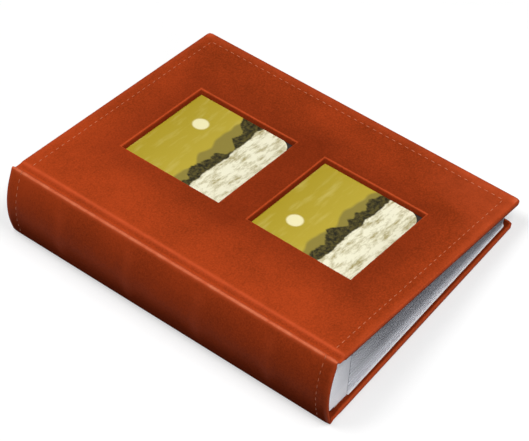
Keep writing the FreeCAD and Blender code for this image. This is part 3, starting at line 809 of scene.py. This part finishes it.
def edge_shade_group():
    """Share of painted shade on the head and tail edges of the leaves, most towards the front of the block.
    """
    build, given, result = new_group("leaf_edge_painted_shade", {"Vector": None, "Normal": None}, ["Share"])
    root, tip = sheet_section("front_flyleaf")
    slope = float((tip[1] - root[1]) / (tip[0] - root[0]))
    place, facing = build.parts(given["Vector"]), build.parts(given["Normal"])
    from_root = build.math("SUBTRACT", place["X"], float(root[0]))
    top = build.math("MULTIPLY_ADD", from_root, slope, float(root[1]))
    height = build.math("DIVIDE", place["Z"], top)
    share = build.spread(height, *SHADE_HEIGHT, *SHADE_SHARE)
    share = build.math("MULTIPLY", share, build.spread(place["X"], *SHADE_REACH))
    on_edge = build.spread(build.math("ABSOLUTE", facing["Y"]), 0.5, 0.9)
    # Painted shade also on the faces just inside the head and tail edges.
    margin = build.spread(build.math("ABSOLUTE", place["Y"]), *SHADE_MARGIN, 0.0, MARGIN_SHARE)
    shaded_edges = build.math("MAXIMUM", on_edge, margin)
    build.feed(result["Share"], build.math("MULTIPLY", share, shaded_edges))
    return build.tree


def landscape_group():
    """Toned view over a still lake: sky, a low sun, two lines of hills and bright water."""
    build, given, result = new_group("toned_lake_view", {"UV": None, "Shift": 0.0, "Sun": 0.7}, ["Color"])
    view = build.parts(given["UV"])
    across, up = view["X"], view["Y"]

    def line(frequency, shift, detail, height, foot):
        """Level of an uneven line across the view."""
        shift = build.math("ADD", given["Shift"], shift)
        place = build.math("MULTIPLY_ADD", across, frequency, shift)
        inputs = {"W": place, "Detail": detail, "Scale": 1.0}
        wave = build.add("ShaderNodeTexNoise", inputs, noise_dimensions="1D").outputs[0]
        return build.math("MULTIPLY_ADD", wave, height, foot)

    def below(level, softness):
        return build.spread(build.math("SUBTRACT", level, up), -softness, softness)

    drift = build.vector(
        X=build.math("MULTIPLY_ADD", across, 2.2, given["Shift"]), Y=build.math("MULTIPLY", up, 11.0),
    )
    streaks = build.noise(drift, 1.3, 4.0, 0.6)
    sky = build.mix(up, (0.52, 0.41, 0.048, 1), (0.37, 0.275, 0.013, 1))
    sky = build.mix(build.spread(streaks, 0.52, 0.78, 0.0, 0.55), sky, (0.60, 0.51, 0.15, 1))

    sun = build.vector(X=given["Sun"], Y=0.72)
    far = build.add("ShaderNodeVectorMath", {0: given["UV"], 1: sun}, operation="DISTANCE").outputs["Value"]
    picture = build.mix(build.spread(far, 0.075, 0.06), sky, (0.80, 0.74, 0.42, 1))

    far_hills = below(line(2.1, 3.0, 2.0, 0.30, 0.33), 0.012)
    picture = build.mix(far_hills, picture, (0.25, 0.20, 0.035, 1))
    scrub = build.noise(given["UV"], 34.0, 4.0, 0.7)
    hill = build.mix(build.spread(scrub, 0.4, 0.62), (0.012, 0.011, 0.004, 1), (0.10, 0.08, 0.018, 1))
    picture = build.mix(below(line(2.6, 11.0, 5.0, 0.42, 0.20), 0.008), picture, hill)

    ripples = build.vector(
        X=build.math("MULTIPLY", across, 6.0), Y=build.math("MULTIPLY", up, 17.0), Z=given["Shift"],
    )
    wave = build.noise(ripples, 1.0, 6.0, 0.72)
    water = build.mix(build.spread(wave, 0.46, 0.68), (0.80, 0.77, 0.58, 1), (0.27, 0.21, 0.04, 1))
    picture = build.mix(below(line(5.0, 20.0, 3.0, 0.08, 0.27), 0.006), picture, water)
    build.feed(result["Color"], picture)
    return build.tree


GRAIN_AND_SHEEN = leather_grain_and_sheen_group()
FIBRE = paper_fibre_group()
EDGE_SHADE = edge_shade_group()
LANDSCAPE = landscape_group()


def new_material(name):
    """Material with a principled shader: its builder, the shader's inputs and the coordinates."""
    material = bpy.data.materials.new(name)
    material.use_nodes = True
    material.node_tree.nodes.clear()
    build = NodeTree(material.node_tree)
    shader = build.add("ShaderNodeBsdfPrincipled")
    build.add("ShaderNodeOutputMaterial", {"Surface": shader.outputs["BSDF"]})
    return material, build, shader.inputs, build.add("ShaderNodeTexCoord").outputs


def add_bump(build, finish, height, distance, strength):
    bump = build.add("ShaderNodeBump", {"Height": height, "Distance": distance, "Strength": strength})
    build.feed(finish["Normal"], bump.outputs["Normal"])


def leather_material(name, deep, plain, handled_and_highlight, rubbed_and_highlight, painted_shade):
    """Smooth leather coloured with dye, paler along its used edges and where a highlight is painted, and
    darker where shade is painted.
    """
    material, build, finish, place = new_material(name)
    grain_and_sheen = build.group(GRAIN_AND_SHEEN, Vector=place["Object"])
    # Per point: paler with use and painted highlight above 0, painted shade below 0.
    worn = build.add("ShaderNodeAttribute", attribute_name="worn").outputs["Fac"]
    tone = build.mix(grain_and_sheen["Tone"], deep, plain)
    paling = build.math("MULTIPLY", worn, build.spread(grain_and_sheen["Polish"], 0.3, 0.7, 0.6, 1.0))
    # Paler with use along the edges, and painted highlight on ridges, lips and bands.
    tone = build.mix(build.spread(paling, 0.0, 0.5), tone, handled_and_highlight)
    tone = build.mix(build.spread(paling, 0.5, 1.0), tone, rubbed_and_highlight)
    # Painted shade where the value is below 0.
    tone = build.mix(build.spread(worn, 0.0, -1.0), tone, painted_shade)
    build.feed(finish["Base Color"], tone)
    rough = build.spread(grain_and_sheen["Polish"], 0.3, 0.7, 0.42, 0.55)
    rough = build.math("MAXIMUM", rough, build.spread(worn, 0.0, -0.5, 0.42, 0.92))
    build.feed(finish["Roughness"], rough)
    build.feed(finish["Specular IOR Level"], 0.022)
    add_bump(build, finish, grain_and_sheen["Height"], 0.12 * MM, 0.6)
    return material


def paper_material(name, plain, shade, rough, fibre=1200.0, bump=0.3, shaded_edges=False, painted_light=None, alpha=1.0):
    """Paper, board or film with a faint cloud and tooth.

    One with shaded edges has painted shade on its head and tail edges. One with painted light is paler at the
    start of that reach and turns to leaf white along it.
    """
    material, build, finish, place = new_material(name)
    paper = build.group(FIBRE, Vector=place["Object"], Fibre=fibre)
    colour = build.mix(paper["Cloud"], shade, plain)
    # Painted light: paler at the start of the reach, turning to leaf white.
    if painted_light:
        layers = build.add("ShaderNodeMapping", {"Vector": place["Object"], "Scale": (40, 40, 1600)})
        uneven = build.spread(build.noise(layers.outputs["Vector"], 1.0), 0.3, 0.7, -0.2, 0.2)
        share = build.math("ADD", build.spread(build.parts(place["Object"])["X"], *painted_light), uneven)
        colour = build.mix(build.spread(share, 0.0, 1.0), colour, LEAF_WHITE)
    # Painted shade on the head and tail edges, greyer towards the top of the block.
    if shaded_edges:
        tone = build.group(EDGE_SHADE, Vector=place["Object"], Normal=place["Normal"])
        colour = build.mix(tone["Share"], colour, EDGE_PAINTED_SHADE)
    build.feed(finish["Base Color"], colour)
    build.feed(finish["Roughness"], build.spread(paper["Tooth"], 0.3, 0.7, rough - 0.05, rough + 0.05))
    build.feed(finish["Alpha"], alpha)
    add_bump(build, finish, paper["Tooth"], 0.05 * MM, bump)
    return material


def cloth_material():
    """Open plain weave."""
    material, build, finish, place = new_material("lining_cloth")
    threads = []
    for direction in ("Y", "Z"):
        inputs = {"Vector": place["Object"], "Scale": 320.0, "Distortion": 0.6}
        threads.append(build.add("ShaderNodeTexWave", inputs, bands_direction=direction).outputs[1])
    weave = build.math("MAXIMUM", *threads)
    build.feed(finish["Base Color"], build.mix(weave, (0.52, 0.49, 0.42, 1), (0.80, 0.78, 0.70, 1)))
    build.feed(finish["Roughness"], 0.85)
    add_bump(build, finish, weave, 0.1 * MM, 0.5)
    return material


def thread_material():
    """Twisted thread, paler than the leather."""
    material, build, finish, place = new_material("thread")
    wisps = build.noise(place["Object"], 1500.0, 2.0, 0.6)
    colour = build.mix(build.spread(wisps, 0.3, 0.7), (0.43, 0.105, 0.040, 1), (0.58, 0.195, 0.085, 1))
    build.feed(finish["Base Color"], colour)
    build.feed(finish["Roughness"], 0.55)
    add_bump(build, finish, wisps, 0.08 * MM, 0.5)
    return material


def picture_material(name, shift, sun):
    """Satin card with a toned view printed on it."""
    material, build, finish, place = new_material(name)
    view = build.group(LANDSCAPE, UV=place["UV"], Shift=shift, Sun=sun)
    paper = build.group(FIBRE, Vector=place["Object"])
    build.feed(finish["Base Color"], view["Color"])
    build.feed(finish["Roughness"], build.spread(paper["Tooth"], 0.3, 0.7, 0.34, 0.42))
    return material


LEATHER = leather_material(
    "leather",
    deep=(0.20, 0.0265, 0.0047, 1),
    plain=(0.38, 0.047, 0.0090, 1),
    handled_and_highlight=(0.49, 0.070, 0.0190, 1),
    rubbed_and_highlight=(0.57, 0.145, 0.066, 1),
    painted_shade=(0.10, 0.010, 0.002, 1),
)
THREAD = thread_material()
LEAF_CARD = paper_material("leaf_card", LEAF_WHITE, LEAF_SHADE, 0.62, shaded_edges=True)
# Guard stubs: painted light, palest beside the spine.
GUARD_CARD = paper_material(
    "guard_card", (0.96, 0.96, 0.99, 1), (0.92, 0.93, 0.97, 1), 0.62, shaded_edges=True, painted_light=GUARD_PAINTED_LIGHT,
)
FLYLEAF = paper_material("flyleaf_paper", (0.84, 0.84, 0.85, 1), (0.78, 0.78, 0.79, 1), 0.7)
LINING = paper_material("lining_paper", (0.74, 0.69, 0.59, 1), (0.66, 0.61, 0.51, 1), 0.75)
BOARD = paper_material("millboard", (0.33, 0.26, 0.18, 1), (0.24, 0.19, 0.13, 1), 0.85, 700.0, 0.6)
# Near-black sheet under the picture cards: painted shade in the gap at each card's rounded corner.
POCKET_SHADE = paper_material("pocket_painted_shade", (0.030, 0.020, 0.015, 1), (0.018, 0.012, 0.010, 1), 0.8)
FILM = paper_material(
    "clear_film", (0.92, 0.94, 0.95, 1), (0.88, 0.90, 0.92, 1), 0.12, 500.0, 0.05, alpha=0.22,
)
GLASSINE = paper_material("glassine", LEAF_WHITE, LEAF_SHADE, 0.45, 500.0, 0.05, shaded_edges=True, alpha=0.90)
CLOTH = cloth_material()
PICTURES = {
    "upper": picture_material("upper_view", 0.0, 0.70),
    "lower": picture_material("lower_view", 7.3, 0.30),
}


def stitch_tree():
    """Threads set along a path, each dipping into the leather at both ends."""
    tree = bpy.data.node_groups.new("stitch_line", "GeometryNodeTree")
    sockets = tree.interface
    sockets.new_socket("Path", in_out="INPUT", socket_type="NodeSocketGeometry")
    for label, size in STITCH_SIZES.items():
        sockets.new_socket(label, in_out="INPUT", socket_type="NodeSocketFloat").default_value = size
    sockets.new_socket("Thread", in_out="INPUT", socket_type="NodeSocketMaterial")
    sockets.new_socket("Stitches", in_out="OUTPUT", socket_type="NodeSocketGeometry")
    build = NodeTree(tree)
    given = build.add("NodeGroupInput").outputs
    curve = build.add("GeometryNodeMeshToCurve", {"Mesh": given["Path"]}).outputs["Curve"]
    spaced = build.add("GeometryNodeResampleCurve", {"Curve": curve, "Length": given["Pitch"]}, mode="LENGTH")
    half = build.math("MULTIPLY", given["Thread length"], 0.5)
    sunk = build.math("MULTIPLY", given["Thread width"], -0.55)
    arch = build.add("GeometryNodeCurveQuadraticBezier", {
        "Resolution": 6,
        "Start": build.vector(X=build.math("MULTIPLY", half, -1.0), Z=sunk),
        "Middle": build.vector(Z=build.math("MULTIPLY", given["Thread width"], 0.75)),
        "End": build.vector(X=half, Z=sunk),
    })
    radius = build.math("MULTIPLY", given["Thread width"], 0.5)
    ring = build.add("GeometryNodeCurvePrimitiveCircle", {"Resolution": 6, "Radius": radius})
    thread = build.add("GeometryNodeCurveToMesh", {
        "Curve": arch.outputs["Curve"],
        "Profile Curve": ring.outputs["Curve"],
        "Fill Caps": True,
    })
    tangent = build.add("GeometryNodeInputTangent").outputs["Tangent"]
    up = build.add("GeometryNodeInputNamedAttribute", {"Name": "up"}, data_type="FLOAT_VECTOR")
    lie = build.add("FunctionNodeAlignRotationToVector", {"Vector": tangent}, axis="X")
    stand = build.add(
        "FunctionNodeAlignRotationToVector",
        {"Rotation": lie.outputs["Rotation"], "Vector": up.outputs["Attribute"]},
        axis="Z",
        pivot_axis="X",
    )
    placed = build.add("GeometryNodeInstanceOnPoints", {
        "Points": spaced.outputs["Curve"],
        "Instance": thread.outputs["Mesh"],
        "Rotation": stand.outputs["Rotation"],
    })
    real = build.add("GeometryNodeRealizeInstances", {"Geometry": placed.outputs["Instances"]})
    smooth = build.add("GeometryNodeSetShadeSmooth", {"Geometry": real.outputs["Geometry"]})
    dressed = build.add(
        "GeometryNodeSetMaterial", {"Geometry": smooth.outputs["Geometry"], "Material": given["Thread"]}
    )
    build.add("NodeGroupOutput", {"Stitches": dressed.outputs["Geometry"]})
    return tree


STITCHES = stitch_tree()


def sew(name, paths, body):
    """Stitches of one body along several paths of points with their outward directions."""
    points, edges, ups = [], [], []
    for places, normals in paths:
        first = len(points)
        points += [tuple(place) for place in places]
        ups += [tuple(normal) for normal in normals]
        edges += [(first + index, first + index + 1) for index in range(len(places) - 1)]
    mesh = bpy.data.meshes.new(name + "_path")
    mesh.from_pydata(points, edges, [])
    layer = mesh.attributes.new("up", "FLOAT_VECTOR", "POINT")
    layer.data.foreach_set("vector", np.array(ups, np.float32).ravel())
    guide = bpy.data.objects.new(name + "_path", mesh)
    bpy.context.scene.collection.objects.link(guide)
    modifier = guide.modifiers.new("stitches", "NODES")
    modifier.node_group = STITCHES
    settings = {**STITCH_SIZES, "Thread": THREAD}
    for item in STITCHES.interface.items_tree:
        if item.in_out == "INPUT" and item.name in settings:
            modifier[item.identifier] = settings[item.name]
    depsgraph = bpy.context.evaluated_depsgraph_get()
    sewn = bpy.data.meshes.new_from_object(guide.evaluated_get(depsgraph))
    bpy.data.objects.remove(guide)
    bpy.data.meshes.remove(mesh)
    sewn.name = name
    piece = bpy.data.objects.new(name, sewn)
    bpy.context.scene.collection.objects.link(piece)
    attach(piece, body)


def cover_line(start, end):
    """Path on the front cover between two points (s, y), laid on its relief."""
    share = np.linspace(0, 1, PATH_POINTS)
    s = start[0] + (end[0] - start[0]) * share
    y = start[1] + (end[1] - start[1]) * share
    places = FRONT.spots(s, y, cover_relief(FRONT, s, y))
    return places, np.tile(np.array(FRONT.outward), (PATH_POINTS, 1))


def spine_line(y):
    """Path round the spine from below the crest of its front shoulder to just above its foot."""
    last = station_at(FRONT, FRONT.crest_s) - SHOULDER_STEPS
    places, normals = [], []
    for number in range(last, -1, -1):
        station = STATIONS[number]
        if station.stitched > 0.5 and station.cover is not BACK:
            places.append(station_points(number, np.array([y]), strip_relief(station, np.array([y])))[0])
            normals.append((STATION_NORMALS[number, 0], 0, STATION_NORMALS[number, 1]))
    return places, normals


def sew_case():
    """Stitches round the front cover and across both ends of the spine."""
    end_y = FRONT.half - STITCH_INSET
    fore_s = FRONT.width - STITCH_INSET
    half = STITCH_PITCH / 2
    sew("cover_stitching", [
        cover_line((fore_s - half, end_y), (STITCH_START, end_y)),
        cover_line((fore_s, end_y - half), (fore_s, half - end_y)),
        cover_line((fore_s - half, -end_y), (STITCH_START, -end_y)),
    ], "front_cover")
    sew("spine_stitching", [spine_line(end_y), spine_line(-end_y)], "spine")


def slab(points, thick, direction):
    """Closed sheet under a grid of points: its points and faces."""
    rows, columns = points.shape[:2]
    top = points.reshape(-1, 3)
    low = top - thick * np.array(direction)
    count = rows * columns
    faces = grid_faces(rows, columns)
    faces += [tuple(count + corner for corner in face[::-1]) for face in faces]
    number = np.arange(count).reshape(rows, columns)
    ring = [*number[:-1, 0], *number[-1, :-1], *number[:0:-1, -1], *number[0, :0:-1]]
    for corner, after in zip(ring, ring[1:] + ring[:1]):
        faces.append((after, corner, count + corner, count + after))
    return np.concatenate((top, low)), faces


def card_lines(start, bend, end, before, after):
    """Grid lines of a card, with their own count on each side of where its corner starts."""
    return np.concatenate((np.linspace(start, bend, before), np.linspace(bend, end, after)[1:]))


def picture_card(name):
    """Loose picture card over a near-black sheet, painted shade seen where the card's free corner is rounded
    off.
    """
    s_low, s_high, y_low, y_high = WINDOWS[name]
    near, fore = s_low - CARD_TUCK, s_high - WALL_RUN + CARD_SHOW
    tail, head = y_low + WALL_RUN - CARD_SHOW, y_high + CARD_TUCK
    bend_s, bend_y = fore - CARD_CORNER, tail + CARD_CORNER
    lines_s = card_lines(near, bend_s, fore, CARD_STEPS, CARD_CORNER_STEPS)
    lines_y = card_lines(tail, bend_y, head, CARD_CORNER_STEPS, CARD_STEPS)
    s, y = np.meshgrid(lines_s, lines_y, indexing="ij")
    s, y = round_corner(s, y, bend_s, bend_y, -1, CARD_CORNER)
    across = (s - near) / (fore - near)
    up = (y - tail) / (head - tail)
    level = CARD_LEVEL - CARD_BOW * 4 * across * (1 - across)
    points, faces = slab(FRONT.spots(s, y, level), CARD_THICK, FRONT.outward)
    floor_s = np.linspace(s_low - CARD_TUCK, s_high + CARD_TUCK, POCKET_STEPS)
    floor_y = np.linspace(y_low - CARD_TUCK, y_high + CARD_TUCK, POCKET_STEPS)
    floor = FRONT.spots(*np.meshgrid(floor_s, floor_y, indexing="ij"), POCKET_LEVEL)
    floor, floor_faces = slab(floor, POCKET_THICK, FRONT.outward)
    card_faces = len(faces)
    faces += [tuple(len(points) + corner for corner in face) for face in floor_faces]
    points = np.concatenate((points, floor))
    piece = new_piece(name + "_picture_card", points, faces, PICTURES[name], flat=True)
    mesh = piece.data
    mesh.materials.append(POCKET_SHADE)
    for polygon in mesh.polygons:
        polygon.material_index = 0 if polygon.index < card_faces else 1
    view = np.zeros((len(mesh.vertices), 2))
    view[: 2 * s.size] = np.tile(np.stack((across.ravel(), up.ravel()), axis=1), (2, 1))
    layer = mesh.uv_layers.new(name="view")
    for loop in mesh.loops:
        layer.data[loop.index].uv = view[loop.vertex_index]
    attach(piece, "front_cover")
    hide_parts(name + "_picture")


def thin_sheet(root, tip, half, root_thick, tip_thick):
    """Sheet with rounded fore corners: its points and faces."""
    length = np.linalg.norm(tip - root)
    along = (tip - root) / length
    up = np.array((-along[1], along[0]))
    turns = np.radians(np.linspace(0, 90, LEAF_CORNER_STEPS))
    run = length - LEAF_CORNER * (1 - np.cos(turns))
    side = half - LEAF_CORNER * (1 - np.sin(turns))
    t = np.concatenate(([0], run[::-1], run, [0]))
    y = np.concatenate(([half], side[::-1], -side, [-half]))
    layers = []
    for face in (0.5, -0.5):
        level = face * (root_thick + (tip_thick - root_thick) * t / length)
        place = root + t[:, None] * along + level[:, None] * up
        layers.append(np.stack((place[:, 0], y, place[:, 1]), axis=1))
    count = len(t)
    faces = [tuple(range(count))[::-1], tuple(range(count, 2 * count))]
    for index in range(count):
        after = (index + 1) % count
        faces.append((index, after, count + after, count + index))
    return np.concatenate(layers), faces


def half_height(node):
    return max(vertex.co.y for vertex in NODES[node].data.vertices)


def interleaf_sheets(number):
    """Loose thin sheets between two leaves."""
    name = "interleaf_%02d" % number
    low_root, low_tip = sheet_section("leaf_%02d_card" % (number + 1))
    high_root, high_tip = sheet_section("leaf_%02d_card" % number)
    half = half_height(name)
    points, faces = [], []
    for sheet in range(1, INTERLEAF_SHEETS + 1):
        share = sheet / (INTERLEAF_SHEETS + 1)
        root = low_root + (high_root - low_root) * share
        tip = low_tip + (high_tip - low_tip) * share
        turn = STAGGER_TURN * (number * INTERLEAF_SHEETS + sheet)
        inset = SHEET_STAGGER * (0.5 + 0.5 * math.sin(turn))
        along = (tip - root) / np.linalg.norm(tip - root)
        root, tip = root + SHEET_START * along, tip - inset * along
        sheet_points, sheet_faces = thin_sheet(root, tip, half - inset, SHEET_ROOT, SHEET_TIP)
        first = sum(len(done) for done in points)
        points.append(sheet_points)
        faces += [tuple(first + corner for corner in face) for face in sheet_faces]
    piece = new_piece(name + "_sheets", np.concatenate(points), faces, GLASSINE, flat=True)
    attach(piece, name)
    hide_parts(name)
    root, tip = sheet_section(name)
    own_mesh(piece)


def flyleaf_sheet():
    """Last sheet of the block, a little larger than the leaves."""
    name = "back_flyleaf"
    root, tip = sheet_section(name)
    tip = tip + np.array((FLYLEAF_OVERHANG, 0))
    half = half_height(name) + FLYLEAF_OVERHANG
    points, faces = thin_sheet(root, tip, half, FLYLEAF_THICK, FLYLEAF_THICK)
    piece = new_piece("last_flyleaf", points, faces, FLYLEAF, flat=True)
    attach(piece, name)
    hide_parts(name)


def dress_nodes():
    """Finish of every piece of the construction, by the first part of a name that fits."""
    finishes = (
        ("_board", BOARD),
        ("_infill", BOARD),
        ("spine_lining", CLOTH),
        ("_lining", LINING),
        ("_flyleaf", FLYLEAF),
        ("_strips", FILM),
        ("interleaf", GLASSINE),
        ("leaf_guards", GUARD_CARD),
        ("leaf", LEAF_CARD),
        ("_leather", LEATHER),
        ("_picture", BOARD),
    )
    for name, node in NODES.items():
        finish = next(material for part, material in finishes if part in name)
        node.data.materials.clear()
        node.data.materials.append(finish)


def floor_material():
    """Paper that shows white to the camera and keeps a soft shadow."""
    material, build, finish, place = new_material("white_floor")
    path = build.add("ShaderNodeLightPath").outputs
    seen = build.math("MAXIMUM", path["Is Camera Ray"], path["Is Glossy Ray"])
    seen = build.math("MAXIMUM", seen, path["Is Transmission Ray"])
    pale = build.mix(build.noise(place["Object"], 40.0), (0.90, 0.90, 0.90, 1), (0.93, 0.93, 0.93, 1))
    build.feed(finish["Base Color"], build.mix(seen, (0.22, 0.22, 0.23, 1), pale))
    build.feed(finish["Roughness"], 0.9)
    surface = next(node for node in build.tree.nodes if node.type == "OUTPUT_MATERIAL").inputs["Surface"]
    glow = build.add("ShaderNodeEmission", {"Color": (1, 1, 1, 1), "Strength": 1.0})
    mixed = build.add("ShaderNodeMixShader", {
        0: build.math("MULTIPLY", seen, FLOOR_GLOW),
        1: surface.links[0].from_socket,
        2: glow.outputs["Emission"],
    })
    build.feed(surface, mixed.outputs["Shader"])
    return material


def make_floor():
    """Wide flat floor just under the object."""
    lines = np.linspace(-FLOOR_REACH, FLOOR_REACH, FLOOR_LINES)
    x, y = np.meshgrid(lines, lines, indexing="ij")
    z = np.full(x.shape, cad_low.z - FLOOR_DROP)
    points = np.stack((x, y, z), axis=-1)
    floor = new_piece("floor", points, grid_faces(FLOOR_LINES, FLOOR_LINES), floor_material())


def area_light(name, place, aim, size, power):
    data = bpy.data.lights.new(name, "AREA")
    data.shape = "RECTANGLE"
    data.size, data.size_y = size
    data.energy = power
    lamp = bpy.data.objects.new(name, data)
    lamp.location = place
    lamp.rotation_euler = (Vector(aim) - Vector(place)).to_track_quat("-Z", "Y").to_euler()
    bpy.context.scene.collection.objects.link(lamp)


def light_stage():
    """Soft lights above the head and tail sides, a weak one low at the tail, and a pale surround."""
    area_light("head_light", (-0.30, 0.50, 1.30), (0, 0, 0), (0.7, 0.7), 13)
    area_light("tail_light", (0.12, -0.56, 1.40), (0, 0, 0.02), (0.8, 0.5), 11.8)
    area_light("tail_fill", (-0.06, -0.60, 0.24), (-0.06, -0.11, 0.02), (0.3, 0.2), 0.9)
    world = bpy.data.worlds.new("white_surround")
    world.use_nodes = True
    world.node_tree.nodes.clear()
    build = NodeTree(world.node_tree)
    sky = build.add("ShaderNodeBackground", {"Color": (1, 1, 1, 1), "Strength": SURROUND})
    build.add("ShaderNodeOutputWorld", {"Surface": sky.outputs["Background"]})
    bpy.context.scene.world = world


def make_camera():
    """Camera at the photograph's viewing angle."""
    data = bpy.data.cameras.new("camera")
    data.sensor_fit = "HORIZONTAL"
    data.sensor_width = SENSOR_WIDTH
    data.lens = CAMERA_LENS
    data.clip_start, data.clip_end = 0.05, 50
    camera = bpy.data.objects.new("camera", data)
    camera.location = CAMERA_PLACE
    camera.rotation_euler = [math.radians(turn) for turn in CAMERA_TURN]
    bpy.context.scene.collection.objects.link(camera)
    bpy.context.scene.camera = camera


dress_nodes()
cover_skin(FRONT, LEATHER)
cover_skin(BACK, LEATHER)
wrap_case(LEATHER)
sew_case()
for window_name in WINDOWS:
    picture_card(window_name)
flyleaf_sheet()
for leaf_number in range(1, LEAF_COUNT):
    interleaf_sheets(leaf_number)
make_floor()
light_stage()
make_camera()
bpy.context.scene.view_settings.view_transform = "Standard"
